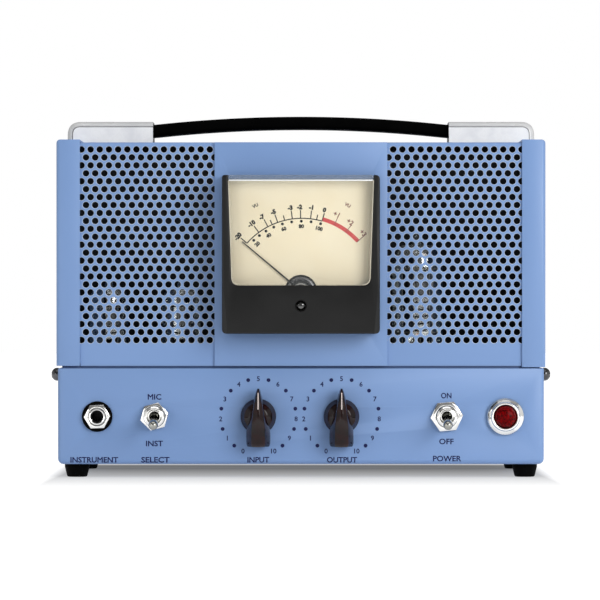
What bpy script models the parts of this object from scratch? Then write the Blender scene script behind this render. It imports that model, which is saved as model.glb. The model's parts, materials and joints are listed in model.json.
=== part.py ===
# Tube preamplifier in a steel case: a folded lower pan with the controls, a perforated cage
# over the tubes, a level meter in the middle and a strap handle on top.
# Metres, +Z up, the front faces -Y, the origin lies on the floor under the middle.

import math

import bmesh
import bpy
from mathutils import Matrix, Vector

mm = 0.001

# Shared clearances and sheet
gap = 0.3 * mm
overrun = 2.0 * mm
merge_distance = 0.00001
sheet = 1.5 * mm
cage_sheet = 1.2 * mm
full_turn = math.radians(360)

# Lower pan
pan_width = 265.0 * mm
pan_depth = 152.0 * mm
pan_height = 52.2 * mm
pan_side_fold = 3.0 * mm
pan_face_fold = 2.0 * mm
foot_height = 7.2 * mm
foot_top_radius = 6.8 * mm
foot_low_radius = 5.4 * mm
foot_edge = 1.0 * mm
foot_inset_x = 10.0 * mm
foot_inset_y = 13.0 * mm

# Deck that carries the tubes and transformers
deck_flange = 14.0 * mm
deck_drop = 0.4 * mm

# Cage
seam = 1.4 * mm
right_end_sag = 0.7 * mm
cage_overhang = 0.85 * mm
cage_height = 121.9 * mm
end_flange = 12.8 * mm
end_fold = 2.0 * mm
wrap_sheet = 1.0 * mm
wrap_fold = 2.6 * mm
wrap_inset = 4.8 * mm
tab_width = 18.0 * mm
tab_height = 11.0 * mm
hole_pitch = 10.0 * mm
hole_radius = 3.1 * mm
hole_margin_low = 12.0 * mm
hole_margin_high = 4.0 * mm
hole_margin_side = 1.6 * mm
hole_corners = 6
top_pitch = 19.5 * mm
top_opening = 13.0 * mm
top_margin = 3.0 * mm

# Screws through the pan's sides into the cage's tabs
screw_drop = 3.5 * mm
screw_from_front = 20.0 * mm
screw_head_radius = 3.6 * mm
screw_head_height = 4.2 * mm
screw_head_edge = 0.9 * mm
screw_radius = 1.7 * mm
screw_length = 7.0 * mm
# A domed head's profile, as shares of its radius and height
screw_dome_shares = ((0.0, 1.0), (0.55, 0.86), (0.88, 0.5))

# Meter plate and meter, which sits a little below the middle of the cage
plate_margin = 4.3 * mm
meter_width = 85.5 * mm
meter_height = 86.0 * mm
meter_reach = 20.0 * mm
meter_drop = 0.35 * mm
meter_wall = 3.0 * mm
meter_floor = 2.0 * mm
meter_corner = 1.7 * mm
window_sheet = 2.0 * mm
window_lip = 2.3 * mm
window_low = 25.6 * mm
window_rim = 2.95 * mm
window_taper = 1.7 * mm
apron_depth = 5.4 * mm
meter_can_radius = 31.0 * mm
meter_can_length = 30.0 * mm
stud_radius = 2.0 * mm
stud_length = 12.0 * mm
stud_spacing = 66.0 * mm
pivot_above_low = 23.2 * mm
scale_setback = 8.0 * mm
scale_sheet = 0.8 * mm
hub_radius = 8.5 * mm
needle_side_gap = 7.3 * mm
needle_width = 0.7 * mm
needle_sheet = 0.5 * mm
needle_tail = 7.0 * mm
needle_tail_width = 2.6 * mm
needle_boss_radius = 2.2 * mm
needle_rest = math.radians(50)
zero_screw_radius = 3.0 * mm
zero_screw_height = 15.2 * mm
zero_screw_depth = 2.0 * mm
zero_recess_depth = 3.2 * mm
zero_slot_width = 0.9 * mm

# Handle
cap_length = 47.6 * mm
cap_inset = 3.2 * mm
cap_height = 11.6 * mm
cap_width = 32.0 * mm
cap_round = 7.5 * mm
cap_edge = 3.2 * mm
strap_width = 25.0 * mm
strap_thick = 6.8 * mm
strap_hidden = 34.0 * mm
strap_seat = 3.2 * mm
strap_rise = 4.6 * mm
strap_points = 13

# Controls on the front: the outer ones keep their distance from the pan's ends, the dials from
# its middle, and all lie a little below its half height
control_drop = 0.1 * mm
jack_inset = 21.5 * mm
jack_to_select = 31.2 * mm
input_x = -23.2 * mm
output_x = 22.1 * mm
power_to_pilot = 31.9 * mm
pilot_inset = 21.1 * mm

# Chicken-head knobs on potentiometers
knob_lift = 0.9 * mm
knob_disc_radius = 9.7 * mm
knob_disc_height = 6.0 * mm
knob_disc_edge = 1.2 * mm
knob_height = 17.0 * mm
knob_tip = 15.5 * mm
knob_tail = 16.0 * mm
knob_half_width = 6.7 * mm
knob_ridge_half = 3.75 * mm
knob_bore_depth = 13.0 * mm
shaft_radius = 3.0 * mm
shaft_reach = 11.0 * mm
pot_radius = 12.0 * mm
pot_depth = 11.0 * mm
pot_bushing_radius = 4.6 * mm
pot_bushing_reach = 0.6 * mm

# Toggle switches
bushing_radius = 5.9 * mm
bushing_nose_radius = 4.95 * mm
bushing_reach = 8.0 * mm
bushing_nose = 1.4 * mm
bushing_bore_radius = 3.5 * mm
switch_width = 17.0 * mm
switch_height = 29.0 * mm
switch_depth = 20.0 * mm
lug_width = 4.0 * mm
lug_thick = 0.8 * mm
lug_length = 7.0 * mm
lug_pitch = 9.0 * mm
lever_pivot_inset = 3.2 * mm
lever_ball_radius = 2.9 * mm
lever_neck_radius = 1.7 * mm
lever_tip_radius = 2.6 * mm
lever_length = 21.0 * mm
lever_tilt = math.radians(13)
power_nut_flats = 15.4 * mm
select_nut_flats = 13.6 * mm
nut_thick = 2.4 * mm
hex_corner_share = 1 / math.cos(math.radians(30))

# Instrument jack
jack_bore_radius = 3.25 * mm
jack_bushing_radius = 4.7 * mm
jack_body_radius = 8.5 * mm
jack_body_depth = 26.0 * mm
jack_bore_depth = 23.0 * mm
jack_nut_flats = 12.5 * mm
jack_nut_thick = 2.3 * mm
jack_washer_radius = 8.3 * mm
jack_washer_thick = 1.0 * mm
jack_nose = 0.6 * mm

# Pilot lamp
bezel_radius = 10.15 * mm
bezel_height = 4.6 * mm
bezel_edge = 1.2 * mm
bezel_crown_radius = 7.6 * mm
pilot_tube_radius = 7.9 * mm
pilot_tube_length = 24.0 * mm
jewel_radius = 6.1 * mm
jewel_reach = 8.6 * mm
jewel_table_radius = 2.4 * mm
jewel_seat = 5.0 * mm
# The jewel's facets break at these shares of its radius and of its dome's height
jewel_break_shares = (0.8, 0.65)
bulb_radius = 4.0 * mm
bulb_length = 16.0 * mm
bulb_inset = 3.0 * mm

# Tubes and their sockets
small_tube_radius = 11.0 * mm
small_tube_height = 47.0 * mm
large_tube_radius = 14.3 * mm
large_tube_height = 73.0 * mm
# The glass from its sealed tip to its shoulder: radius as shares of the tube's radius,
# and the distance below the top as shares of the same radius
tube_crown_shares = ((0.0, 0.0), (0.16, 0.14), (0.26, 0.40), (0.72, 0.52), (1.0, 0.86))
tube_setback = 55.0 * mm
left_tube_inset = 25.8 * mm
small_tube_spacing = 40.2 * mm
right_tube_inset = 67.7 * mm
small_socket_radius = 12.0 * mm
large_socket_radius = 17.0 * mm
socket_collar = 2.6 * mm
socket_neck = 2.0 * mm
socket_below = 9.0 * mm

# Parts on and under the deck
transformer_width = 68.0 * mm
transformer_depth = 46.0 * mm
transformer_height = 58.0 * mm
transformer_bell = 12.0 * mm
transformer_bell_inset = 7.0 * mm
transformer_from_rear = 12.0 * mm
capacitor_radius = 12.5 * mm
capacitor_height = 60.0 * mm
capacitor_x = 0.0
capacitor_setback = 63.0 * mm
can_radius = 14.0 * mm
can_height = 32.0 * mm
input_can_inset = 36.5 * mm
output_can_inset = 40.5 * mm
can_from_rear = 52.0 * mm
board_width = 150.0 * mm
board_depth = 74.0 * mm
board_sheet = 1.6 * mm
board_lift = 8.0 * mm
board_post_radius = 3.0 * mm
board_post_inset = 6.0 * mm
board_from_front = 38.0 * mm

# Rear sockets, measured in from the pan's ends
rear_drop = 0.1 * mm
inlet_inset = 40.5 * mm
inlet_to_outlet = 40.0 * mm
fuse_to_mains = 48.0 * mm
mains_inset = 40.5 * mm
flange_width = 26.0 * mm
flange_height = 31.0 * mm
flange_thick = 2.0 * mm
flange_corner = 3.0 * mm
barrel_radius = 11.4 * mm
barrel_length = 20.0 * mm
cup_radius = 9.6 * mm
cup_depth = 13.0 * mm
core_radius = 7.7 * mm
pin_circle = 3.35 * mm
pin_radius = 1.2 * mm
pin_setback = 1.5 * mm
contact_radius = 1.5 * mm
contact_depth = 10.0 * mm
latch_width = 5.0 * mm
latch_height = 2.6 * mm
latch_reach = 2.4 * mm
latch_inside = 6.0 * mm
latch_offset = 12.6 * mm
latch_travel = 1.6 * mm
mains_width = 50.0 * mm
mains_height = 27.0 * mm
mains_body_width = 32.0 * mm
mains_body_height = 23.0 * mm
mains_body_depth = 22.0 * mm
mains_mouth_width = 25.0 * mm
mains_mouth_height = 17.5 * mm
mains_mouth_depth = 16.0 * mm
blade_width = 4.0 * mm
blade_thick = 2.0 * mm
blade_spread = 7.0 * mm
blade_step = 2.0 * mm
blade_setback = 3.0 * mm
fuse_radius = 6.0 * mm
fuse_flange_radius = 8.0 * mm
fuse_flange_thick = 2.2 * mm
fuse_length = 30.0 * mm
fuse_bore_radius = 4.2 * mm
fuse_bore_depth = 27.0 * mm
fuse_cap_radius = 6.6 * mm
fuse_cap_reach = 8.0 * mm
fuse_cap_end_radius = 5.9 * mm
fuse_stem_radius = 3.6 * mm
fuse_stem_length = 22.0 * mm
fuse_slot_width = 1.4 * mm
fuse_slot_depth = 1.2 * mm

# Facets of round pieces
fine_facets = 32
plain_facets = 20
small_facets = 14
jewel_facets = 10

# Places, heights and planes that follow from the sizes above
lever_reach = (bushing_reach - lever_pivot_inset + lever_tip_radius
               + (lever_length - lever_tip_radius) * math.cos(lever_tilt))
rear_reach = fuse_flange_thick + gap + gap + fuse_cap_reach
front_y = (lever_reach - rear_reach - pan_depth) / 2
rear_y = front_y + pan_depth
pan_low = foot_height
pan_top = pan_low + pan_height
pan_middle = pan_low + pan_height / 2
control_height = pan_middle - control_drop
rear_height = pan_middle - rear_drop
deck_top = pan_top - deck_drop
cage_low = pan_top + seam
meter_centre_height = cage_low + cage_height / 2 - meter_drop
wrap_top = cage_low + cage_height
cage_top = wrap_top + gap + cage_sheet
strap_low = cage_top + gap + strap_seat
cage_width = pan_width + 2 * cage_overhang
cap_span = cage_width - 2 * cap_inset
wrap_front = front_y + cage_sheet + gap
wrap_rear = rear_y - cage_sheet - gap
wrap_half = cage_width / 2 - wrap_inset
meter_low = meter_centre_height - meter_height / 2
meter_top = meter_centre_height + meter_height / 2
meter_back = front_y - gap
meter_front = meter_back - meter_reach
pivot_height = meter_low + pivot_above_low
window_low_height = meter_low + window_low
plate_width = meter_width + 2 * plate_margin
window_top_half = meter_width / 2 - window_rim
window_low_half = window_top_half - window_taper
needle_length = (window_top_half - needle_side_gap) / math.sin(needle_rest)
scale_front = meter_front + scale_setback
needle_plane = scale_front - gap - needle_sheet
tab_outer = pan_width / 2 - sheet - gap
deck_half = tab_outer - cage_sheet - gap
jack_x = jack_inset - pan_width / 2
select_x = jack_x + jack_to_select
pilot_x = pan_width / 2 - pilot_inset
power_x = pilot_x - power_to_pilot
left_tube_x = left_tube_inset - pan_width / 2
middle_tube_x = left_tube_x + small_tube_spacing
right_tube_x = pan_width / 2 - right_tube_inset
input_can_x = input_can_inset - pan_width / 2
output_can_x = pan_width / 2 - output_can_inset
inlet_x = inlet_inset - pan_width / 2
outlet_x = inlet_x + inlet_to_outlet
mains_x = pan_width / 2 - mains_inset
fuse_x = mains_x - fuse_to_mains

facing_front = (math.radians(90), 0, 0)
facing_rear = (math.radians(90), 0, math.radians(180))
upright = (0, 0, 0)
same_way = 0.9


# Scene and helpers

def clear_scene():
    for thing in list(bpy.data.objects):
        bpy.data.objects.remove(thing)


def new_collection(name):
    made = bpy.data.collections.new(name)
    bpy.context.scene.collection.children.link(made)
    return made


def finish(name, colour, roughness, metallic=0.0):
    made = bpy.data.materials.new(name)
    made.use_nodes = True
    shader = made.node_tree.nodes["Principled BSDF"]
    shader.inputs["Base Color"].default_value = (*colour, 1.0)
    shader.inputs["Roughness"].default_value = roughness
    shader.inputs["Metallic"].default_value = metallic
    made.diffuse_color = (*colour, 1.0)
    return made


def mesh_from(bm, name):
    mesh = bpy.data.meshes.new(name)
    bm.to_mesh(mesh)
    bm.free()
    return mesh


def smooth(mesh):
    mesh.shade_smooth()
    mesh.set_sharp_from_angle(angle=math.radians(35))


def place(name, mesh, material, where=(0, 0, 0), turn=upright):
    mesh.materials.append(material)
    piece = bpy.data.objects.new(name, mesh)
    parts.objects.link(piece)
    piece.location = where
    piece.rotation_euler = turn
    return piece


def hide_as_tool(piece):
    parts.objects.unlink(piece)
    tools.objects.link(piece)
    piece.hide_render = True
    piece.display_type = "WIRE"
    return piece


def combine(piece, tool, operation):
    step = piece.modifiers.new(operation.lower(), "BOOLEAN")
    step.operation = operation
    step.object = hide_as_tool(tool)


def cut(piece, tool):
    combine(piece, tool, "DIFFERENCE")


def fuse(piece, tool):
    combine(piece, tool, "UNION")


def add_block(bm, low, high):
    low, high = Vector(low), Vector(high)
    size = high - low
    middle = Matrix.Translation((low + high) / 2)
    bmesh.ops.create_cube(bm, size=1, matrix=middle @ Matrix.Diagonal((*size, 1)))


def block(name, low, high, material, where=(0, 0, 0), turn=upright):
    bm = bmesh.new()
    add_block(bm, low, high)
    return place(name, mesh_from(bm, name), material, where, turn)


def add_rod(bm, centre, radius, low, high, sides):
    # A rod along local Z whose middle line passes through centre
    at = Matrix.Translation((centre[0], centre[1], (low + high) / 2))
    bmesh.ops.create_cone(bm, cap_ends=True, segments=sides, radius1=radius,
                          radius2=radius, depth=high - low, matrix=at)


def rods(name, centres, radius, low, high, sides, material, where=(0, 0, 0), turn=upright):
    bm = bmesh.new()
    for centre in centres:
        add_rod(bm, centre, radius, low, high, sides)
    return place(name, mesh_from(bm, name), material, where, turn)


def turned(name, profile, material, where=(0, 0, 0), turn=upright, steps=plain_facets, ring=False):
    # Profile points are (radius, height), down the outer side; a ring's profile closes on itself
    bm = bmesh.new()
    points = [bm.verts.new((radius, 0, height)) for radius, height in profile]
    for first, second in zip(points, points[1:]):
        bm.edges.new((first, second))
    if ring:
        bm.edges.new((points[-1], points[0]))
    piece = place(name, mesh_from(bm, name), material, where, turn)
    spin = piece.modifiers.new("turn", "SCREW")
    spin.axis = "Z"
    spin.angle = full_turn
    spin.steps = steps
    spin.render_steps = steps
    spin.use_merge_vertices = True
    spin.merge_threshold = merge_distance
    spin.use_smooth_shade = True
    return piece


def sheet_outline(name, loops, thickness, material, where=(0, 0, 0), turn=upright):
    # A flat outline with any inner loops, extruded to thickness about local z = 0
    curve = bpy.data.curves.new(name, "CURVE")
    curve.dimensions = "2D"
    curve.fill_mode = "BOTH"
    curve.extrude = thickness / 2
    for loop in loops:
        line = curve.splines.new("POLY")
        line.points.add(len(loop) - 1)
        for point, (x, y) in zip(line.points, loop):
            point.co = (x, y, 0, 1)
        line.use_cyclic_u = True
    flat = bpy.data.objects.new(name, curve)
    parts.objects.link(flat)
    seen = flat.evaluated_get(bpy.context.evaluated_depsgraph_get())
    mesh = bpy.data.meshes.new_from_object(seen)
    bpy.data.objects.remove(flat)
    bm = bmesh.new()
    bm.from_mesh(mesh)
    bmesh.ops.remove_doubles(bm, verts=bm.verts, dist=merge_distance)
    bmesh.ops.recalc_face_normals(bm, faces=bm.faces)
    bm.to_mesh(mesh)
    bm.free()
    mesh.materials.clear()
    return place(name, mesh, material, where, turn)


def circle_points(radius, sides, centre=(0, 0), start=0.0):
    step = full_turn / sides
    return [(centre[0] + radius * math.cos(start + i * step),
             centre[1] + radius * math.sin(start + i * step)) for i in range(sides)]


def rounded_points(width, height, corner, arc_steps=3):
    quarter = math.radians(90)
    points = []
    for i, (sx, sy) in enumerate(((1, 1), (-1, 1), (-1, -1), (1, -1))):
        cx, cy = sx * (width / 2 - corner), sy * (height / 2 - corner)
        for k in range(arc_steps + 1):
            angle = i * quarter + k * quarter / arc_steps
            points.append((cx + corner * math.cos(angle), cy + corner * math.sin(angle)))
    return points


def folded_shell(name, low, high, open_side, folds, thickness, material):
    # A box open on one side, with some edges folded round, and the wall added inwards.
    # Each fold is a test of an edge's two ends and its radius.
    bm = bmesh.new()
    add_block(bm, low, high)
    gone = [f for f in bm.faces if f.normal.dot(Vector(open_side)) > same_way]
    bmesh.ops.delete(bm, geom=gone, context="FACES")
    for chosen, radius, steps in folds:
        edges = [e for e in bm.edges if len(e.link_faces) == 2 and chosen(*(v.co for v in e.verts))]
        bmesh.ops.bevel(bm, geom=edges, offset=radius, segments=steps, profile=0.5,
                        affect="EDGES", clamp_overlap=True)
    piece = place(name, mesh_from(bm, name), material)
    wall = piece.modifiers.new("wall", "SOLIDIFY")
    wall.thickness = thickness
    wall.offset = -1
    wall.use_even_offset = True
    return piece


def near(value, target):
    return abs(value - target) < gap


# Case

def make_pan(blue, screw_height):
    low = (-pan_width / 2, front_y, pan_low)
    high = (pan_width / 2, rear_y, pan_top)

    def bottom_side(a, b):
        return (near(a.z, pan_low) and near(b.z, pan_low)
                and near(abs(a.x), pan_width / 2) and near(a.x, b.x))

    def face_outline(a, b):
        return near(a.y, b.y) and (near(a.y, front_y) or near(a.y, rear_y))

    pan = folded_shell("chassis_pan", low, high, (0, 0, 1),
                       ((bottom_side, pan_side_fold, 4), (face_outline, pan_face_fold, 2)),
                       sheet, blue)
    cut(pan, front_holes(blue))
    cut(pan, rear_holes(blue))
    cut(pan, latch_window(blue))
    cut(pan, side_holes(blue, "pan_side_holes", screw_height))
    return pan


def front_holes(blue):
    bm = bmesh.new()
    for x, radius in ((jack_x, jack_bushing_radius), (select_x, bushing_radius),
                      (input_x, pot_bushing_radius), (output_x, pot_bushing_radius),
                      (power_x, bushing_radius), (pilot_x, pilot_tube_radius)):
        add_rod(bm, (x, control_height), radius + gap, -sheet - overrun, overrun, plain_facets)
    return place("front_holes", mesh_from(bm, "front_holes"), blue, (0, front_y, 0), facing_front)


def rear_holes(blue):
    bm = bmesh.new()
    for x, radius in ((inlet_x, barrel_radius), (outlet_x, barrel_radius), (fuse_x, fuse_radius)):
        add_rod(bm, (-x, rear_height), radius + gap, -sheet - overrun, overrun, plain_facets)
    half_width = mains_body_width / 2 + gap
    half_height = mains_body_height / 2 + gap
    add_block(bm, (-mains_x - half_width, rear_height - half_height, -sheet - overrun),
              (-mains_x + half_width, rear_height + half_height, overrun))
    return place("rear_holes", mesh_from(bm, "rear_holes"), blue, (0, rear_y, 0), facing_rear)


def latch_window(blue):
    # The latch runs in through the pan just above the inlet's barrel
    half = latch_width / 2 + gap
    tall = latch_height / 2 + gap
    return block("latch_window", (-half, latch_offset - barrel_radius / 2, -sheet - overrun),
                 (half, latch_offset + tall, overrun), blue, at_rear(inlet_x), facing_rear)


def side_holes(blue, name, height):
    bm = bmesh.new()
    for y in screw_places():
        at = Matrix.Translation((0, y, height)) @ Matrix.Rotation(math.radians(90), 4, "Y")
        bmesh.ops.create_cone(bm, cap_ends=True, segments=small_facets, radius1=screw_radius + gap,
                              radius2=screw_radius + gap, depth=pan_width + overrun, matrix=at)
    return place(name, mesh_from(bm, name), blue)


def screw_places():
    return (front_y + screw_from_front, rear_y - screw_from_front)


def make_deck(grey, screw_height):
    low = (-deck_half, front_y + sheet + gap, deck_top - deck_flange)
    high = (deck_half, rear_y - sheet - gap, deck_top)
    deck = folded_shell("deck_plate", low, high, (0, 0, -1), (), sheet, grey)
    bm = bmesh.new()
    add_block(bm, (-deck_half + sheet + gap, low[1] - overrun, low[2] - overrun),
              (deck_half - sheet - gap, high[1] + overrun, deck_top - sheet))
    opened = place("deck_underside", mesh_from(bm, "deck_underside"), grey)
    cut(deck, opened)
    bm = bmesh.new()
    for x, radius in ((left_tube_x, small_socket_radius), (middle_tube_x, small_socket_radius),
                      (right_tube_x, large_socket_radius)):
        add_rod(bm, (x, front_y + tube_setback), radius + gap, deck_top - sheet - overrun,
                deck_top + overrun, plain_facets)
    cut(deck, place("socket_holes", mesh_from(bm, "socket_holes"), grey))
    cut(deck, side_holes(grey, "deck_side_holes", screw_height))
    return deck


def make_cage_end(name, side, sag, blue, screw_height):
    outer = side * cage_width / 2
    inner = side * (cage_width / 2 - end_flange)
    low = (min(outer, inner), front_y, cage_low - sag)
    high = (max(outer, inner), rear_y, cage_top)

    def side_outline(a, b):
        at_bottom = near(a.z, low[2]) and near(b.z, low[2])
        return near(a.x, outer) and near(b.x, outer) and not at_bottom

    end = folded_shell(name, low, high, (-side, 0, 0), ((side_outline, end_fold, 3),),
                       cage_sheet, blue)
    for i, y in enumerate(screw_places()):
        tab_inner = side * (tab_outer - cage_sheet)
        xs = sorted((side * tab_outer, tab_inner))
        tab = block(f"{name}_tab_{i}", (xs[0], y - tab_width / 2, pan_top - tab_height),
                    (xs[1], y + tab_width / 2, cage_low - sag + cage_sheet / 2), blue)
        fuse(end, tab)
    cut(end, side_holes(blue, f"{name}_holes", screw_height))
    return end


def make_cage_screws(steel, height):
    across = math.radians(90)
    dome = [(r * screw_head_radius, h * screw_head_height) for r, h in screw_dome_shares]
    for side, side_name in ((-1, "left"), (1, "right")):
        for y, end_name in zip(screw_places(), ("front", "rear")):
            head = pan_width / 2 + gap
            turned(f"cage_screw_{end_name}_{side_name}",
                   (*dome, (screw_head_radius, screw_head_edge), (screw_head_radius, 0),
                    (screw_radius, 0), (screw_radius, -screw_length), (0, -screw_length)),
                   steel, (side * head, y, height), (0, side * across, 0), small_facets)


def make_wrap(blue):
    # The perforated sheet, folded over the front, the top and the rear
    low = (-wrap_half, wrap_front, cage_low)
    high = (wrap_half, wrap_rear, wrap_top)
    bm = bmesh.new()
    add_block(bm, low, high)
    gone = [f for f in bm.faces if f.normal.z < -same_way or abs(f.normal.x) > same_way]
    bmesh.ops.delete(bm, geom=gone, context="FACES")
    folds = [e for e in bm.edges if len(e.link_faces) == 2]
    bmesh.ops.bevel(bm, geom=folds, offset=wrap_fold, segments=3, profile=0.5, affect="EDGES")
    wrap = place("cage_wrap", mesh_from(bm, "cage_wrap"), blue)
    wall = wrap.modifiers.new("wall", "SOLIDIFY")
    wall.thickness = wrap_sheet
    wall.offset = -1
    wall.use_even_offset = True
    cut(wrap, wrap_holes(blue))
    cut(wrap, wrap_top_openings(blue))
    cut(wrap, wrap_notches(blue))
    cut(wrap, meter_openings("wrap_meter_opening", blue))
    return wrap


def wrap_notches(blue):
    # Room for the lower flanges of the cage's two ends
    bm = bmesh.new()
    inner = cage_width / 2 - end_flange - gap
    for xs in ((-cage_width, -inner), (inner, cage_width)):
        add_block(bm, (xs[0], front_y - overrun, cage_low - overrun),
                  (xs[1], rear_y + overrun, cage_low + cage_sheet + gap))
    return place("wrap_notches", mesh_from(bm, "wrap_notches"), blue)


def wrap_holes(blue):
    # A staggered pattern in the two front windows beside the meter plate
    bm = bmesh.new()
    left = plate_width / 2 + hole_radius + hole_margin_side
    right = cage_width / 2 - end_flange - hole_radius - hole_margin_side
    row_pitch = hole_pitch * math.sin(math.radians(60))
    low = cage_low + hole_margin_low + hole_radius
    high = wrap_top - hole_margin_high - hole_radius
    rows = int((high - low) / row_pitch) + 1
    for row in range(rows):
        shift = hole_pitch / 2 if row % 2 else 0
        places = int((right - left - shift) / hole_pitch) + 1
        for column in range(places):
            x = left + shift + column * hole_pitch
            for side in (-1, 1):
                add_rod(bm, (side * x, low + row * row_pitch), hole_radius,
                        -wrap_sheet - overrun, overrun, hole_corners)
    return place("wrap_holes", mesh_from(bm, "wrap_holes"), blue, (0, wrap_front, 0), facing_front)


def wrap_top_openings(blue):
    # A plain grid in the top, left closed under the handle's two caps
    bm = bmesh.new()
    half = top_opening / 2
    middle_y = (wrap_front + wrap_rear) / 2
    across = cage_width - 2 * (end_flange + top_margin)
    deep = wrap_rear - wrap_front - 2 * (wrap_fold + top_margin)
    columns, rows = int(across / top_pitch), int(deep / top_pitch)
    for column in range(columns):
        x = (column - (columns - 1) / 2) * top_pitch
        for row in range(rows):
            y = (row - (rows - 1) / 2) * top_pitch
            if abs(x) + half > cap_span / 2 - cap_length and abs(y) - half < cap_width / 2:
                continue
            add_block(bm, (x - half, middle_y + y - half, wrap_top - wrap_sheet - overrun),
                      (x + half, middle_y + y + half, wrap_top + overrun))
    return place("wrap_top_openings", mesh_from(bm, "wrap_top_openings"), blue)


def meter_openings(name, blue):
    # Clearance for the meter's can and its studs, through the plate and the wrap
    depth = sheet + cage_sheet + wrap_sheet + overrun
    bm = bmesh.new()
    add_rod(bm, (0, meter_centre_height), meter_can_radius + gap, -depth, overrun, fine_facets)
    for x, z in stud_places():
        add_rod(bm, (x, z), stud_radius + gap, -depth, overrun, small_facets)
    return place(name, mesh_from(bm, name), blue, (0, front_y, 0), facing_front)


def stud_places():
    half = stud_spacing / 2
    return [(sx * half, meter_centre_height + sz * half) for sx in (-1, 1) for sz in (-1, 1)]


def make_meter_plate(blue):
    plate = block("meter_plate", (-plate_width / 2, front_y, cage_low),
                  (plate_width / 2, front_y + cage_sheet, wrap_top), blue)
    cut(plate, meter_openings("plate_meter_opening", blue))
    return plate


def make_feet(rubber):
    for side, side_name in ((-1, "left"), (1, "right")):
        for y, end_name in ((front_y + foot_inset_y, "front"), (rear_y - foot_inset_y, "rear")):
            top = foot_height - gap
            turned(f"foot_{end_name}_{side_name}",
                   ((0, top), (foot_top_radius, top), (foot_low_radius, foot_edge),
                    (foot_low_radius - foot_edge, 0), (0, 0)),
                   rubber, (side * (pan_width / 2 - foot_inset_x), y, 0))


# Meter

def make_meter_case(black):
    # A box open at the front and the top, with the movement's can behind
    middle = (0, meter_back - meter_reach / 2, meter_centre_height)
    case = sheet_outline("meter_case", [rounded_points(meter_width, meter_height, meter_corner)],
                         meter_reach, black, middle, facing_front)
    room_low = window_low_height + gap
    half = window_top_half
    cut(case, block("meter_room", (-half, meter_front - overrun, room_low),
                    (half, meter_back - meter_floor, meter_top + overrun), black))
    apron_room_half = meter_width / 2 - meter_wall
    cut(case, block("apron_room", (-apron_room_half, meter_front - overrun, meter_low + meter_wall),
                    (apron_room_half, meter_front + meter_reach / 2, room_low + overrun), black))
    bm = bmesh.new()
    can_top = meter_reach - meter_floor / 2
    add_rod(bm, (0, meter_centre_height), meter_can_radius, -meter_can_length, 0, fine_facets)
    for x, z in stud_places():
        add_rod(bm, (x, z), stud_radius, -stud_length, 0, small_facets)
    backing = place("meter_can", mesh_from(bm, "meter_can"), black,
                    (0, meter_back - meter_reach + can_top, 0), facing_front)
    fuse(case, backing)
    return case


def make_meter_window(clear):
    # A clear front sheet whose top folds back over the case
    outline = [(-window_low_half + gap, window_low_height + gap), (window_low_half - gap,
               window_low_height + gap), (window_top_half - gap, meter_top - window_lip),
               (window_top_half - gap, meter_top), (-window_top_half + gap, meter_top),
               (-window_top_half + gap, meter_top - window_lip)]
    window = sheet_outline("meter_window", [outline], window_sheet, clear,
                           (0, meter_front + window_sheet / 2, 0), facing_front)
    lip = block("window_lip", (gap - window_top_half, meter_front, meter_top - window_lip),
                (window_top_half - gap, meter_back - meter_floor - gap, meter_top), clear)
    fuse(window, lip)
    return window


def make_meter_apron(black):
    # The solid lower front with drafted sides, under the window
    half = meter_width / 2 - meter_wall - gap
    low = meter_low + meter_wall + gap
    outline = [(-half, low), (half, low), (half, window_low_height), (-half, window_low_height)]
    apron = sheet_outline("meter_apron", [outline], apron_depth, black,
                          (0, meter_front + apron_depth / 2, 0), facing_front)
    well = turned("zero_well", ((0, overrun), (zero_screw_radius + gap, overrun),
                                (zero_screw_radius + gap, -zero_recess_depth),
                                (0, -zero_recess_depth)),
                  black, (0, meter_front, meter_low + zero_screw_height), facing_front)
    cut(apron, well)
    return apron


def make_meter_scale(cream):
    half = window_top_half - gap
    low = window_low_height + gap + gap
    top = meter_top - window_lip - gap
    notch = hub_radius + gap
    reach = math.asin(min(1.0, (low - pivot_height) / notch))
    steps = 10
    arc = [(notch * math.cos(math.pi - reach - i * (math.pi - 2 * reach) / steps),
            pivot_height + notch * math.sin(math.pi - reach - i * (math.pi - 2 * reach) / steps))
           for i in range(steps + 1)]
    outline = [(-half, top), (-half, low), *arc, (half, low), (half, top)]
    return sheet_outline("meter_scale", [outline], scale_sheet, cream,
                         (0, scale_front + scale_sheet / 2, 0), facing_front)


def make_meter_movement(dark):
    floor = meter_back - meter_floor - gap
    room_low = window_low_height + gap + gap
    movement = turned("meter_movement",
                      ((0, 0), (hub_radius, 0), (hub_radius, scale_front - floor), (0, scale_front - floor)),
                      dark, (0, scale_front, pivot_height), facing_front)
    below = pivot_height - hub_radius - overrun
    cut(movement, block("movement_trim", (-hub_radius - overrun, meter_front, below),
                        (hub_radius + overrun, meter_back, room_low), dark))
    return movement


def make_needle(black):
    # A blade, a boss on the pivot and a tail that balances the blade
    half = needle_width / 2
    boss = circle_points(needle_boss_radius, 12, start=math.radians(90))
    blade = [(half, needle_boss_radius / 2), (half, needle_length - needle_width),
             (0, needle_length), (-half, needle_length - needle_width), (-half, needle_boss_radius / 2)]
    tail_half = needle_tail_width / 2
    tail = [(-tail_half, -needle_tail), (tail_half, -needle_tail),
            (tail_half, -needle_boss_radius / 2), (-tail_half, -needle_boss_radius / 2)]
    where = (0, needle_plane, pivot_height)
    turn = (math.radians(90), -needle_rest, 0)
    needle = sheet_outline("meter_needle", [boss], needle_sheet, black, where, turn)
    fuse(needle, sheet_outline("needle_blade", [blade], needle_sheet, black, where, turn))
    fuse(needle, sheet_outline("needle_tail", [tail], needle_sheet, black, where, turn))
    return needle


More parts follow.
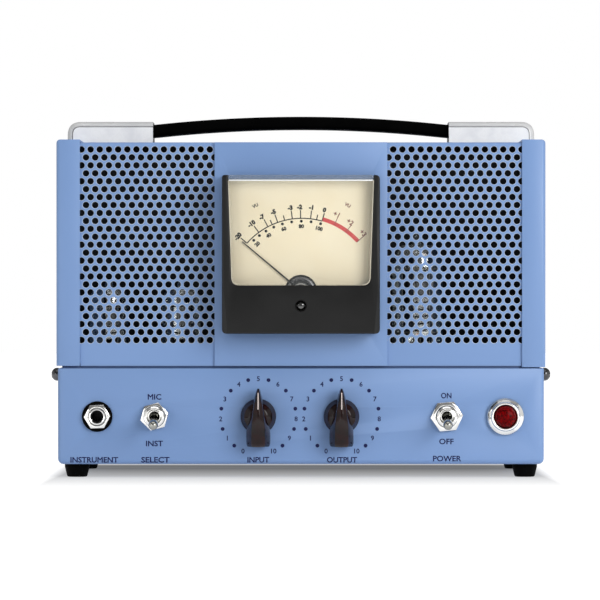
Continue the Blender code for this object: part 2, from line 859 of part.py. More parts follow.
def make_zero_screw(black):
    where = (0, meter_front + zero_recess_depth - gap, meter_low + zero_screw_height)
    screw = turned("meter_zero_screw", ((0, zero_screw_depth), (zero_screw_radius, zero_screw_depth),
                                        (zero_screw_radius, 0), (0, 0)), black, where, facing_front)
    half = zero_slot_width / 2
    cut(screw, block("zero_slot", (-zero_screw_radius, -half, zero_screw_depth / 2),
                     (zero_screw_radius, half, zero_screw_depth + overrun), black, where, facing_front))
    return screw


# Handle

def strap_curve_points():
    # Flat inside the caps and a low arch between them
    free_half = cap_span / 2 - cap_length
    whole_half = free_half + strap_hidden
    middle = strap_low + strap_thick / 2
    points = [(-whole_half, middle)]
    for i in range(strap_points):
        share = 2 * i / (strap_points - 1) - 1
        points.append((share * free_half, middle + strap_rise * (1 - share ** 2)))
    return [*points, (whole_half, middle)]


def make_strap(leather):
    middle = strap_curve_points()
    half = strap_thick / 2
    top = [(x, z + half) for x, z in middle]
    low = [(x, z - half) for x, z in reversed(middle)]
    return sheet_outline("handle_strap", [low + top], strap_width, leather,
                         (0, (front_y + rear_y) / 2, 0), facing_front)


def make_cap(name, side, bright):
    outer = side * cap_span / 2
    inner = side * (cap_span / 2 - cap_length)
    low = cage_top + gap
    middle_y = (front_y + rear_y) / 2
    bm = bmesh.new()
    add_block(bm, (min(outer, inner), middle_y - cap_width / 2, low),
              (max(outer, inner), middle_y + cap_width / 2, low + cap_height))
    shoulder = [e for e in bm.edges if all(near(v.co.x, outer) and near(v.co.z, low + cap_height)
                                           for v in e.verts)]
    bmesh.ops.bevel(bm, geom=shoulder, offset=cap_round, segments=4, profile=0.5, affect="EDGES")
    rims = [e for e in bm.edges if near(e.verts[0].co.y, e.verts[1].co.y)
            and not all(near(v.co.z, low) for v in e.verts)
            and not all(near(v.co.x, inner) for v in e.verts)]
    bmesh.ops.bevel(bm, geom=rims, offset=cap_edge, segments=2, profile=0.5, affect="EDGES",
                    clamp_overlap=True)
    cap = place(name, mesh_from(bm, name), bright)
    smooth(cap.data)
    slot_end = side * (cap_span / 2 - cap_length + strap_hidden + gap)
    slot_out = inner - side * overrun
    half = strap_width / 2 + gap
    cut(cap, block(f"{name}_slot", (min(slot_end, slot_out), middle_y - half, strap_low - gap),
                   (max(slot_end, slot_out), middle_y + half, strap_low + strap_thick + gap), bright))
    return cap


# Controls

def at_control(x, reach=0.0):
    return (x, front_y - reach, control_height)


# Stations from tail to tip: place along the pointer, half width at the base and at the ridge
# (as shares of the tail or the tip, of the half width and of the ridge half width), and height share
knob_station_shares = ((-1.0, 0.38, 0.36, 0.84), (-0.95, 0.70, 0.72, 0.90), (-0.84, 0.92, 0.94, 0.95),
                       (-0.62, 1.0, 1.0, 0.98), (0.0, 0.62, 0.66, 1.0), (0.63, 0.29, 0.30, 0.93),
                       (0.90, 0.13, 0.14, 0.86), (1.0, 0.04, 0.05, 0.80))


def knob_head_mesh():
    bm = bmesh.new()
    rings = []
    low = knob_disc_height / 2
    for level in (0, 1):
        ring = []
        for side in (1, -1):
            stations = knob_station_shares if side == 1 else reversed(knob_station_shares)
            for along, base, ridge, height in stations:
                y = along * (knob_tip if along > 0 else knob_tail)
                x = side * (knob_half_width * base if level == 0 else knob_ridge_half * ridge)
                z = low if level == 0 else knob_height * height
                ring.append(bm.verts.new((x, y, z)))
        rings.append(ring)
    count = len(rings[0])
    for i in range(count):
        j = (i + 1) % count
        bm.faces.new((rings[0][i], rings[0][j], rings[1][j], rings[1][i]))
    bm.faces.new(list(reversed(rings[0])))
    top = bm.faces.new(rings[1])
    bmesh.ops.triangulate(bm, faces=[top])
    bmesh.ops.recalc_face_normals(bm, faces=bm.faces)
    return mesh_from(bm, "knob_head")


def make_knob(name, x, maroon):
    where = at_control(x, knob_lift)
    knob = turned(name, ((0, knob_disc_height), (knob_disc_radius - knob_disc_edge, knob_disc_height),
                         (knob_disc_radius, knob_disc_height - knob_disc_edge),
                         (knob_disc_radius, 0), (0, 0)),
                  maroon, where, facing_front, fine_facets)
    fuse(knob, place(f"{name}_head", knob_head_mesh(), maroon, where, facing_front))
    cut(knob, rods(f"{name}_bore", [(0, 0)], shaft_radius + gap, -overrun, knob_bore_depth,
                   small_facets, maroon, where, facing_front))
    return knob


def make_potentiometer(side_name, x, steel):
    back = -sheet - gap
    bore_end = back - pot_depth + sheet
    turned(f"{side_name}_pot",
           ((0, bore_end), (shaft_radius + gap, bore_end), (shaft_radius + gap, pot_bushing_reach),
            (pot_bushing_radius, pot_bushing_reach), (pot_bushing_radius, back), (pot_radius, back),
            (pot_radius, back - pot_depth), (0, back - pot_depth)),
           steel, at_control(x), facing_front)
    turned(f"{side_name}_shaft",
           ((0, shaft_reach), (shaft_radius, shaft_reach), (shaft_radius, bore_end + gap),
            (0, bore_end + gap)),
           steel, at_control(x), facing_front, small_facets)


def hex_nut(name, flats, thickness, bore, material, where, start=0.0):
    corner = flats / 2 * hex_corner_share
    return sheet_outline(name, [circle_points(corner, 6, start=start),
                                circle_points(bore, plain_facets)], thickness,
                         material, where, facing_front)


def make_toggle(prefix, x, nut_flats, nut_start, steel, bakelite):
    back = -sheet - gap
    body = block(f"{prefix}_switch", (-switch_width / 2, -switch_height / 2, back - switch_depth),
                 (switch_width / 2, switch_height / 2, back), bakelite, at_control(x), facing_front)
    nose_low = bushing_reach - bushing_nose
    fuse(body, turned(f"{prefix}_bushing",
                      ((0, bushing_reach), (bushing_nose_radius, bushing_reach),
                       (bushing_radius, nose_low), (bushing_radius, back - overrun),
                       (0, back - overrun)),
                      steel, at_control(x), facing_front))
    bm = bmesh.new()
    for row in (-1, 0, 1):
        middle = row * lug_pitch
        add_block(bm, (-lug_width / 2, middle - lug_thick / 2, back - switch_depth - lug_length),
                  (lug_width / 2, middle + lug_thick / 2, back - switch_depth + overrun))
    fuse(body, place(f"{prefix}_lugs", mesh_from(bm, f"{prefix}_lugs"), steel,
                     at_control(x), facing_front))
    pocket = lever_pivot_inset + lever_ball_radius + gap
    cut(body, rods(f"{prefix}_mouth", [(0, 0)], bushing_bore_radius, bushing_reach - pocket,
                   bushing_reach + overrun, plain_facets, steel, at_control(x), facing_front))
    hex_nut(f"{prefix}_nut", nut_flats, nut_thick, bushing_radius + gap, steel,
            at_control(x, gap + nut_thick / 2), nut_start)
    make_lever(f"{prefix}_lever", x, steel)


def make_lever(name, x, steel):
    tip = [(lever_tip_radius * math.sin(math.radians(a)),
            lever_length - lever_tip_radius + lever_tip_radius * math.cos(math.radians(a)))
           for a in (0, 30, 60, 90)]
    ball = [(lever_ball_radius * math.sin(math.radians(a)), lever_ball_radius * math.cos(math.radians(a)))
            for a in (40, 70, 100, 135, 180)]
    neck = (lever_neck_radius, lever_ball_radius + lever_neck_radius / 2)
    pivot = at_control(x, bushing_reach - lever_pivot_inset)
    turned(name, (*tip, neck, *ball), steel, pivot,
           (math.radians(90) + lever_tilt, 0, 0), small_facets)


def make_jack(black, steel):
    back = -sheet - gap
    face = gap + jack_washer_thick + gap + jack_nut_thick + jack_nose
    turned("instrument_jack",
           ((0, -jack_bore_depth), (jack_bore_radius, -jack_bore_depth), (jack_bore_radius, face),
            (jack_bushing_radius, face), (jack_bushing_radius, back), (jack_body_radius, back),
            (jack_body_radius, -jack_body_depth), (0, -jack_body_depth)),
           black, at_control(jack_x), facing_front)
    bore = jack_bushing_radius + gap
    turned("jack_washer",
           ((bore, jack_washer_thick), (jack_washer_radius, jack_washer_thick),
            (jack_washer_radius, 0), (bore, 0)),
           black, at_control(jack_x, gap), facing_front, fine_facets, True)
    hex_nut("jack_nut", jack_nut_flats, jack_nut_thick, bore, steel,
            at_control(jack_x, gap + jack_washer_thick + gap + jack_nut_thick / 2))


def make_pilot(steel, ruby, warm):
    seat = jewel_radius + gap
    turned("pilot_bezel",
           ((seat, bezel_height), (bezel_crown_radius, bezel_height),
            (bezel_radius, bezel_edge), (bezel_radius, gap), (pilot_tube_radius, gap),
            (pilot_tube_radius, -pilot_tube_length), (seat, -pilot_tube_length)),
           steel, at_control(pilot_x), facing_front, fine_facets, True)
    low = bezel_height - jewel_seat
    break_radius, break_height = jewel_break_shares
    turned("pilot_jewel",
           ((0, jewel_reach), (jewel_table_radius, jewel_reach),
            (jewel_radius * break_radius, bezel_height + (jewel_reach - bezel_height) * break_height),
            (jewel_radius, bezel_height), (jewel_radius, low), (0, low)),
           ruby, at_control(pilot_x), facing_front, jewel_facets)
    top = low - bulb_inset
    dome = [(bulb_radius * math.sin(math.radians(a)),
             top - bulb_radius + bulb_radius * math.cos(math.radians(a))) for a in (0, 45, 90)]
    turned("pilot_bulb",
           (*dome, (bulb_radius, top - bulb_length), (0, top - bulb_length)),
           warm, at_control(pilot_x), facing_front, small_facets)


# Tubes, transformers and the rest of the works

def make_tube(name, x, radius, height, glass):
    crown = [(radius * r, height - radius * d) for r, d in tube_crown_shares]
    turned(name, (*crown, (radius, 0), (0, 0)),
           glass, (x, front_y + tube_setback, deck_top + socket_collar + gap), upright)


def make_socket(name, x, radius, tube_radius, ceramic):
    # A collar that stands on the deck and a neck through it; the tube's base stands on the collar
    turned(name,
           ((0, socket_collar), (tube_radius, socket_collar), (radius + socket_neck, gap + gap),
            (radius + socket_neck, gap), (radius, gap), (radius, -socket_below), (0, -socket_below)),
           ceramic, (x, front_y + tube_setback, deck_top), upright)


def make_transformer(steel):
    # Laminations with a bell cover on each side
    back = rear_y - transformer_from_rear
    low = deck_top + gap
    half = transformer_width / 2
    core = block("power_transformer", (-half, back - transformer_depth, low),
                 (half, back, low + transformer_height), steel)
    inset = transformer_bell_inset
    fuse(core, block("transformer_bells",
                     (-half - transformer_bell, back - transformer_depth + inset, low + inset),
                     (half + transformer_bell, back - inset, low + transformer_height - inset), steel))
    return core


def make_deck_cans(steel):
    turned("filter_capacitor",
           ((0, capacitor_height), (capacitor_radius, capacitor_height), (capacitor_radius, 0), (0, 0)),
           steel, (capacitor_x, front_y + capacitor_setback, deck_top + gap), upright)
    top = deck_top - sheet - gap
    for name, x in (("input_transformer", input_can_x), ("output_transformer", output_can_x)):
        turned(name, ((0, 0), (can_radius, 0), (can_radius, -can_height), (0, -can_height)),
               steel, (x, rear_y - can_from_rear, top), upright)


def make_board(green):
    floor = pan_low + sheet + gap
    low = floor + board_lift
    front = front_y + board_from_front
    board = block("circuit_board", (-board_width / 2, front, low),
                  (board_width / 2, front + board_depth, low + board_sheet), green)
    bm = bmesh.new()
    for sx in (-1, 1):
        for y in (front + board_post_inset, front + board_depth - board_post_inset):
            add_rod(bm, (sx * (board_width / 2 - board_post_inset), y), board_post_radius,
                    floor, low + board_sheet / 2, small_facets)
    fuse(board, place("board_posts", mesh_from(bm, "board_posts"), green))
    return board


# Rear sockets

def at_rear(x):
    return (x, rear_y, rear_height)


def pin_places():
    return circle_points(pin_circle, 4, start=math.radians(180))[:3]


def connector_plate(name, material, x):
    plate = sheet_outline(name, [rounded_points(flange_width, flange_height, flange_corner)],
                          flange_thick, material, at_rear(x), facing_rear)
    plate.location.y += gap + flange_thick / 2
    return plate


def barrel(name, x, material):
    return rods(name, [(0, 0)], barrel_radius, -barrel_length, gap + flange_thick / 2, fine_facets,
                material, at_rear(x), facing_rear)


def make_inlet(black, steel):
    face = gap + flange_thick
    inlet = connector_plate("microphone_inlet", black, inlet_x)
    fuse(inlet, barrel("inlet_barrel", inlet_x, black))
    cut(inlet, turned("inlet_groove",
                      ((core_radius, face + overrun), (cup_radius, face + overrun),
                       (cup_radius, face - cup_depth), (core_radius, face - cup_depth)),
                      black, at_rear(inlet_x), facing_rear, plain_facets, True))
    cut(inlet, rods("inlet_contacts", pin_places(), contact_radius, face - contact_depth,
                    face + overrun, small_facets, black, at_rear(inlet_x), facing_rear))
    half = latch_width / 2 + gap
    tall = latch_height / 2 + gap
    cut(inlet, block("latch_slot", (-half, latch_offset - tall, face - latch_inside - latch_travel - gap),
                     (half, latch_offset + tall, face + overrun), black, at_rear(inlet_x), facing_rear))
    block("inlet_latch", (-latch_width / 2, latch_offset - latch_height / 2, face - latch_inside),
          (latch_width / 2, latch_offset + latch_height / 2, face + latch_reach), steel,
          at_rear(inlet_x), facing_rear)
    return inlet


def make_outlet(black):
    face = gap + flange_thick
    outlet = connector_plate("line_outlet", black, outlet_x)
    fuse(outlet, barrel("outlet_barrel", outlet_x, black))
    cut(outlet, rods("outlet_cup", [(0, 0)], cup_radius, face - cup_depth, face + overrun,
                     plain_facets, black, at_rear(outlet_x), facing_rear))
    fuse(outlet, rods("outlet_pins", pin_places(), pin_radius, face - cup_depth - overrun,
                      face - pin_setback, 8, black, at_rear(outlet_x), facing_rear))
    return outlet


def make_mains_inlet(black):
    face = gap + flange_thick
    place_at = at_rear(mains_x)
    inlet = sheet_outline("mains_inlet", [rounded_points(mains_width, mains_height, flange_corner)],
                          flange_thick, black, place_at, facing_rear)
    inlet.location.y += gap + flange_thick / 2
    fuse(inlet, block("mains_body",
                      (-mains_body_width / 2, -mains_body_height / 2, -mains_body_depth),
                      (mains_body_width / 2, mains_body_height / 2, gap + flange_thick / 2),
                      black, place_at, facing_rear))
    cut(inlet, block("mains_mouth",
                     (-mains_mouth_width / 2, -mains_mouth_height / 2, face - mains_mouth_depth),
                     (mains_mouth_width / 2, mains_mouth_height / 2, face + overrun),
                     black, place_at, facing_rear))
    bm = bmesh.new()
    for x, y in ((-blade_spread, -blade_step), (blade_spread, -blade_step), (0, blade_step)):
        add_block(bm, (x - blade_thick / 2, y - blade_width / 2, face - mains_mouth_depth - overrun),
                  (x + blade_thick / 2, y + blade_width / 2, face - blade_setback))
    fuse(inlet, place("mains_blades", mesh_from(bm, "mains_blades"), black, place_at, facing_rear))
    return inlet


def make_fuse_holder(black):
    face = gap + fuse_flange_thick
    turned("fuse_holder",
           ((0, face - fuse_bore_depth), (fuse_bore_radius, face - fuse_bore_depth),
            (fuse_bore_radius, face), (fuse_flange_radius, face), (fuse_flange_radius, gap),
            (fuse_radius, gap), (fuse_radius, -fuse_length), (0, -fuse_length)),
           black, at_rear(fuse_x), facing_rear)
    low = face + gap
    cap = turned("fuse_cap",
                 ((0, low + fuse_cap_reach), (fuse_cap_end_radius, low + fuse_cap_reach),
                  (fuse_cap_radius, low), (fuse_stem_radius, low),
                  (fuse_stem_radius, low - fuse_stem_length), (0, low - fuse_stem_length)),
                 black, at_rear(fuse_x), facing_rear)
    half = fuse_slot_width / 2
    cut(cap, block("fuse_slot", (-fuse_cap_radius, -half, low + fuse_cap_reach - fuse_slot_depth),
                   (fuse_cap_radius, half, low + fuse_cap_reach + overrun), black,
                   at_rear(fuse_x), facing_rear))


def main():
    blue = finish("blue_paint", (0.22, 0.34, 0.56), 0.42)
    zinc = finish("zinc_plate", (0.55, 0.56, 0.57), 0.38, 1.0)
    bright = finish("bright_metal", (0.78, 0.78, 0.78), 0.2, 1.0)
    black = finish("black_plastic", (0.012, 0.012, 0.013), 0.35)
    rubber = finish("black_rubber", (0.008, 0.008, 0.008), 0.7)
    leather = finish("black_strap", (0.01, 0.01, 0.01), 0.5)
    cream = finish("cream_card", (0.86, 0.79, 0.61), 0.8)
    clear = finish("clear_cover", (0.9, 0.92, 0.92), 0.08)
    maroon = finish("maroon_bakelite", (0.045, 0.008, 0.007), 0.2)
    ruby = finish("ruby_glass", (0.35, 0.005, 0.008), 0.1)
    glass = finish("tube_glass", (0.75, 0.8, 0.8), 0.06)
    warm = finish("lamp_glass", (0.9, 0.7, 0.4), 0.2)
    ceramic = finish("white_ceramic", (0.75, 0.73, 0.68), 0.5)
    green = finish("board_green", (0.02, 0.12, 0.05), 0.5)
    screw_height = pan_top - screw_drop
    make_pan(blue, screw_height)
    make_deck(zinc, screw_height)
    make_cage_end("cage_end_left", -1, 0.0, blue, screw_height)
    make_cage_end("cage_end_right", 1, right_end_sag, blue, screw_height)
    make_cage_screws(bright, screw_height)
    make_wrap(blue)
    make_meter_plate(blue)
    make_feet(rubber)
    make_meter_case(black)
    make_meter_window(clear)
    make_meter_apron(black)
    make_meter_scale(cream)
    make_meter_movement(black)
    make_needle(black)
    make_zero_screw(black)
    make_strap(leather)
    make_cap("handle_cap_left", -1, bright)
    make_cap("handle_cap_right", 1, bright)
    for side_name, x in (("input", input_x), ("output", output_x)):
        make_knob(f"{side_name}_knob", x, maroon)
        make_potentiometer(side_name, x, zinc)
    make_toggle("select", select_x, select_nut_flats, math.radians(0), bright, black)
    make_toggle("power", power_x, power_nut_flats, math.radians(30), bright, black)
    make_jack(black, bright)
    make_pilot(bright, ruby, warm)
    for name, x in (("left", left_tube_x), ("middle", middle_tube_x)):
        make_tube(f"{name}_tube", x, small_tube_radius, small_tube_height, glass)
        make_socket(f"{name}_socket", x, small_socket_radius, small_tube_radius, ceramic)
    make_tube("right_tube", right_tube_x, large_tube_radius, large_tube_height, glass)
    make_socket("right_socket", right_tube_x, large_socket_radius, large_tube_radius, black)
    make_transformer(zinc)
    make_deck_cans(bright)
    make_board(green)
    make_inlet(black, bright)
    make_outlet(black)
    make_mains_inlet(black)
    make_fuse_holder(black)


clear_scene()
parts = new_collection("tube_preamplifier")
tools = new_collection("cutters")
main()
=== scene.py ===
# The looks of a tube preamplifier in blue steel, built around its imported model
import json
import math

import bmesh
import bpy
from mathutils import Matrix, Vector


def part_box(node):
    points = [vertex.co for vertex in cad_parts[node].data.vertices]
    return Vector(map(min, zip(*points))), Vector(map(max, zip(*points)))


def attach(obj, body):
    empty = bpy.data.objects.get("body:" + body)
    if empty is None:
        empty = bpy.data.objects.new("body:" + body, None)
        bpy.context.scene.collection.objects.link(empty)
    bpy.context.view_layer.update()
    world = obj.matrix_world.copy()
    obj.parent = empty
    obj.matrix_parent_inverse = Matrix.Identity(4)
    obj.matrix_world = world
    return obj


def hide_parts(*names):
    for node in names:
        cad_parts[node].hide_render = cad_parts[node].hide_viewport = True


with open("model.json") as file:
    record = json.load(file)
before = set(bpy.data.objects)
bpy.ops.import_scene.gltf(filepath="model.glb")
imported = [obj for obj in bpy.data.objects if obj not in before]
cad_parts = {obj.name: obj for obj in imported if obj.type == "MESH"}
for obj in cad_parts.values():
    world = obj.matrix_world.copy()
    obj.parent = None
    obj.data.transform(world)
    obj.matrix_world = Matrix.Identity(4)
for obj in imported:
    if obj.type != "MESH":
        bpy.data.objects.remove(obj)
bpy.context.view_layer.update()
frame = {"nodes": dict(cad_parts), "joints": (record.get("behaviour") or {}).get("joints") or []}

nodes = frame["nodes"]
mm = 0.001
quarter = math.radians(90)
facing = (quarter, 0, 0)  # local z towards the viewer, local y up
facingRear = (quarter, 0, 2 * quarter)
tiny = 0.00001
panLow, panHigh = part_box("chassis_pan")
frontY, rearY = panLow.y, panHigh.y
print("frame loaded,", len(nodes), "nodes")


# Camera, square on to the front

camera = {"distance": 2.6, "height": 96.7 * mm, "side": -0.5 * mm, "field": 327 * mm, "sensor": 36.0,
          "farthest": 20}


def placeCamera():
    lens = bpy.data.cameras.new("camera")
    lens.sensor_width = camera["sensor"]
    lens.lens = camera["sensor"] * camera["distance"] / camera["field"]
    lens.clip_end = camera["farthest"]
    holder = bpy.data.objects.new("camera", lens)
    bpy.context.scene.collection.objects.link(holder)
    holder.location = (camera["side"], frontY - camera["distance"], camera["height"])
    holder.rotation_euler = facing
    bpy.context.scene.camera = holder


placeCamera()
print("camera placed")


# Ways to make a finish

driftColour = (0.35, 0.65)
driftGloss = (0.3, 0.7)
coatRoughness = 0.05


def tone(red, green, blue):
    # A colour as a screen shows it, 0 to 255 each, made linear
    shares = [c / 255 for c in (red, green, blue)]
    return tuple(s / 12.92 if s <= 0.04045 else ((s + 0.055) / 1.055) ** 2.4 for s in shares)


def makeFinish(name, look):
    # Two colours that drift into each other, a roughness that follows, and a fine grain
    made = bpy.data.materials.new(name)
    made.use_nodes = True
    tree = made.node_tree
    link = tree.links.new
    shader = tree.nodes["Principled BSDF"]
    shader.inputs["Metallic"].default_value = look.get("metallic", 0.0)
    shader.inputs["Specular IOR Level"].default_value = look.get("specular", 0.5)
    shader.inputs["Coat Weight"].default_value = look.get("coat", 0.0)
    shader.inputs["Coat Roughness"].default_value = coatRoughness
    spot = tree.nodes.new("ShaderNodeTexCoord")
    drift = tree.nodes.new("ShaderNodeTexNoise")
    drift.inputs["Scale"].default_value = look["patch"]
    drift.inputs["Detail"].default_value = 3
    link(spot.outputs["Object"], drift.inputs["Vector"])
    blend = tree.nodes.new("ShaderNodeValToRGB")
    colours = (look["colour"], look.get("second", look["colour"]))
    for stop, place, colour in zip(blend.color_ramp.elements, driftColour, colours):
        stop.position = place
        stop.color = (*colour, 1)
    link(drift.outputs["Fac"], blend.inputs["Fac"])
    link(blend.outputs["Color"], shader.inputs["Base Color"])
    sheen = tree.nodes.new("ShaderNodeMapRange")
    sheen.inputs["From Min"].default_value, sheen.inputs["From Max"].default_value = driftGloss
    swing = look.get("swing", 0.04)
    sheen.inputs["To Min"].default_value = max(0.0, look["roughness"] - swing)
    sheen.inputs["To Max"].default_value = look["roughness"] + swing
    link(drift.outputs["Fac"], sheen.inputs["Value"])
    link(sheen.outputs["Result"], shader.inputs["Roughness"])
    grain = tree.nodes.new("ShaderNodeTexNoise")
    grain.inputs["Scale"].default_value = look["grain"]
    grain.inputs["Detail"].default_value = 2
    link(spot.outputs["Object"], grain.inputs["Vector"])
    relief = tree.nodes.new("ShaderNodeBump")
    relief.inputs["Distance"].default_value = look["depth"]
    relief.inputs["Strength"].default_value = look.get("strength", 0.5)
    link(grain.outputs["Fac"], relief.inputs["Height"])
    link(relief.outputs["Normal"], shader.inputs["Normal"])
    return made


def makeGlow(finish, colour, strength):
    shader = finish.node_tree.nodes["Principled BSDF"]
    shader.inputs["Emission Color"].default_value = (*colour, 1)
    shader.inputs["Emission Strength"].default_value = strength
    return finish


def makeGlass(name, look):
    # Bright where it is seen edge on and nearly clear where it is seen square on
    made = makeFinish(name, look)
    tree = made.node_tree
    edge = tree.nodes.new("ShaderNodeLayerWeight")
    edge.inputs["Blend"].default_value = look["edgeBlend"]
    share = tree.nodes.new("ShaderNodeMapRange")
    share.inputs["To Min"].default_value = look["clearest"]
    share.inputs["To Max"].default_value = look["densest"]
    tree.links.new(edge.outputs["Facing"], share.inputs["Value"])
    tree.links.new(share.outputs["Result"], tree.nodes["Principled BSDF"].inputs["Alpha"])
    return made


bluePaint = makeFinish("bluePaint", {
    "colour": tone(118, 149, 197), "second": tone(122, 153, 201), "patch": 9, "roughness": 0.42,
    "swing": 0.03, "specular": 0.45, "grain": 1500, "depth": 0.02 * mm, "strength": 0.35})
# A darker blue for the lip behind the seam: painted shade in the gap
seamPaintedShade = makeFinish("seamPaintedShade", {
    "colour": tone(62, 88, 136), "second": tone(66, 92, 140), "patch": 30, "roughness": 0.5,
    "grain": 1500, "depth": 0.02 * mm})
screwSteel = makeFinish("screwSteel", {
    "colour": tone(84, 84, 86), "second": tone(70, 70, 72), "patch": 200, "roughness": 0.12,
    "metallic": 1.0, "grain": 2000, "depth": 0.004 * mm})
# A pale paint on the chamfers round the grille's holes: painted glints of light on their rims
rimPaintedGlint = makeFinish("rimPaintedGlint", {
    "colour": tone(205, 216, 228), "second": tone(186, 200, 220), "patch": 60, "roughness": 0.25,
    "specular": 0.8, "grain": 1500, "depth": 0.005 * mm})
# Near-black: the real paint of the transformer's bells, and painted shade on the deck and on the inner side
# of the grille sheets, where the inside of the case lies in shade
blackPaintAndPaintedShade = makeFinish("blackPaintAndPaintedShade", {
    "colour": tone(12, 14, 20), "second": tone(16, 19, 26), "patch": 30, "roughness": 0.6,
    "grain": 1500, "depth": 0.02 * mm})
chrome = makeFinish("chrome", {
    "colour": tone(226, 225, 222), "second": tone(212, 212, 210), "patch": 120, "roughness": 0.12,
    "swing": 0.04, "metallic": 1.0, "grain": 2500, "depth": 0.004 * mm, "strength": 0.3})
zincPlate = makeFinish("zincPlate", {
    "colour": tone(176, 178, 178), "second": tone(196, 197, 190), "patch": 60, "roughness": 0.34,
    "swing": 0.08, "metallic": 1.0, "grain": 1200, "depth": 0.01 * mm})
blackPlastic = makeFinish("blackPlastic", {
    "colour": tone(8, 8, 9), "second": tone(12, 12, 13), "patch": 80, "roughness": 0.34,
    "specular": 0.25, "grain": 2200, "depth": 0.012 * mm, "strength": 0.25})
blackRubber = makeFinish("blackRubber", {
    "colour": tone(1, 1, 1), "second": tone(3, 3, 3), "patch": 150, "roughness": 0.72,
    "specular": 0.05, "grain": 1800, "depth": 0.03 * mm})
navyInk = makeFinish("navyInk", {
    "colour": tone(8, 14, 66), "second": tone(12, 20, 74), "patch": 400, "roughness": 0.5,
    "specular": 0.25, "grain": 4000, "depth": 0.002 * mm})
goldPlate = makeFinish("goldPlate", {
    "colour": tone(226, 186, 96), "second": tone(216, 172, 84), "patch": 200, "roughness": 0.2,
    "metallic": 1.0, "grain": 2500, "depth": 0.004 * mm})
print("shared finishes made")


# Ways to make a shape: each gives a bmesh about its own origin

cornerLimit = 0.49
usualCrease = 38
easedFrom = 50


def eased(points, steps=4, closed=False):
    # Rounds the corners of (x, y, radius) points that have a radius
    line = []
    last = len(points) - 1
    for i, (x, y, radius) in enumerate(points):
        corner = Vector((x, y))
        if radius == 0 or (not closed and i in (0, last)):
            line.append(corner)
            continue
        back = Vector(points[i - 1][:2]) - corner
        ahead = Vector(points[(i + 1) % len(points)][:2]) - corner
        reach = min(radius / math.tan(back.angle(ahead) / 2), back.length * cornerLimit,
                    ahead.length * cornerLimit)
        start, end = corner + back.normalized() * reach, corner + ahead.normalized() * reach
        for k in range(steps + 1):
            t = k / steps
            line.append(start * (1 - t) ** 2 + corner * 2 * t * (1 - t) + end * t ** 2)
    return [(p.x, p.y) for p in line]


def ring(radius, sides, centre=(0, 0), start=0.0):
    step = 4 * quarter / sides
    return [(centre[0] + radius * math.cos(start + i * step),
             centre[1] + radius * math.sin(start + i * step)) for i in range(sides)]


def lathe(profile, sides=48, closed=False):
    # Turns (radius, height) points about local z; a closed profile makes a ring
    shape = bmesh.new()
    rings = []
    for radius, height in profile:
        places = ring(radius, sides) if radius > tiny else [(0, 0)]
        rings.append([shape.verts.new((x, y, height)) for x, y in places])
    pairs = list(zip(rings, rings[1:]))
    if closed:
        pairs.append((rings[-1], rings[0]))
    for first, second in pairs:
        for i in range(sides):
            j = (i + 1) % sides
            corners = [first[i % len(first)], first[j % len(first)],
                       second[j % len(second)], second[i % len(second)]]
            different = list(dict.fromkeys(corners))
            if len(different) > 2:
                shape.faces.new(different)
    bmesh.ops.recalc_face_normals(shape, faces=shape.faces)
    return shape


def slab(loops, low, high, edge=0.0, edgeSteps=2):
    # A flat outline with any holes, from local z low to high, its rims eased
    curve = bpy.data.curves.new("outline", "CURVE")
    curve.dimensions = "2D"
    curve.fill_mode = "BOTH"
    curve.extrude = (high - low) / 2 - edge
    curve.bevel_depth = edge
    curve.bevel_resolution = edgeSteps
    curve.offset = -edge
    for loop in loops:
        line = curve.splines.new("POLY")
        line.points.add(len(loop) - 1)
        for point, (x, y) in zip(line.points, loop):
            point.co = (x, y, 0, 1)
        line.use_cyclic_u = True
    shape = fromCurve(curve)
    bmesh.ops.translate(shape, verts=shape.verts, vec=(0, 0, (low + high) / 2))
    return shape


def fromCurve(curve):
    carrier = bpy.data.objects.new("carrier", curve)
    bpy.context.scene.collection.objects.link(carrier)
    mesh = bpy.data.meshes.new_from_object(carrier.evaluated_get(bpy.context.evaluated_depsgraph_get()))
    bpy.data.objects.remove(carrier)
    shape = bmesh.new()
    shape.from_mesh(mesh)
    bmesh.ops.remove_doubles(shape, verts=shape.verts, dist=tiny)
    bmesh.ops.recalc_face_normals(shape, faces=shape.faces)
    return shape


def box(low, high, edge=0.0, steps=2):
    shape = bmesh.new()
    low, high = Vector(low), Vector(high)
    middle = Matrix.Translation((low + high) / 2)
    bmesh.ops.create_cube(shape, size=1, matrix=middle @ Matrix.Diagonal((*(high - low), 1)))
    if edge:
        bmesh.ops.bevel(shape, geom=shape.edges[:], offset=edge, segments=steps, profile=0.5, affect="EDGES")
    return shape


def wire(points, radius):
    # A round wire that follows its points in a smooth line
    curve = bpy.data.curves.new("wire", "CURVE")
    curve.dimensions = "3D"
    curve.bevel_depth = radius
    curve.bevel_resolution = 2
    curve.use_fill_caps = True
    line = curve.splines.new("NURBS")
    line.points.add(len(points) - 1)
    for point, place in zip(line.points, points):
        point.co = (*place, 1)
    line.use_endpoint_u = True
    line.order_u = 3
    line.resolution_u = 4
    return fromCurve(curve)


def moved(shape, where=(0, 0, 0), turn=(0, 0, 0)):
    aboutX, aboutY, aboutZ = (Matrix.Rotation(angle, 4, axis) for angle, axis in zip(turn, "XYZ"))
    spin = aboutZ @ aboutY @ aboutX
    bmesh.ops.transform(shape, verts=shape.verts, matrix=Matrix.Translation(where) @ spin)
    return shape


def together(*shapes):
    whole = bmesh.new()
    for shape in shapes:
        part = bpy.data.meshes.new("part")
        shape.to_mesh(part)
        shape.free()
        whole.from_mesh(part)
        bpy.data.meshes.remove(part)
    return whole


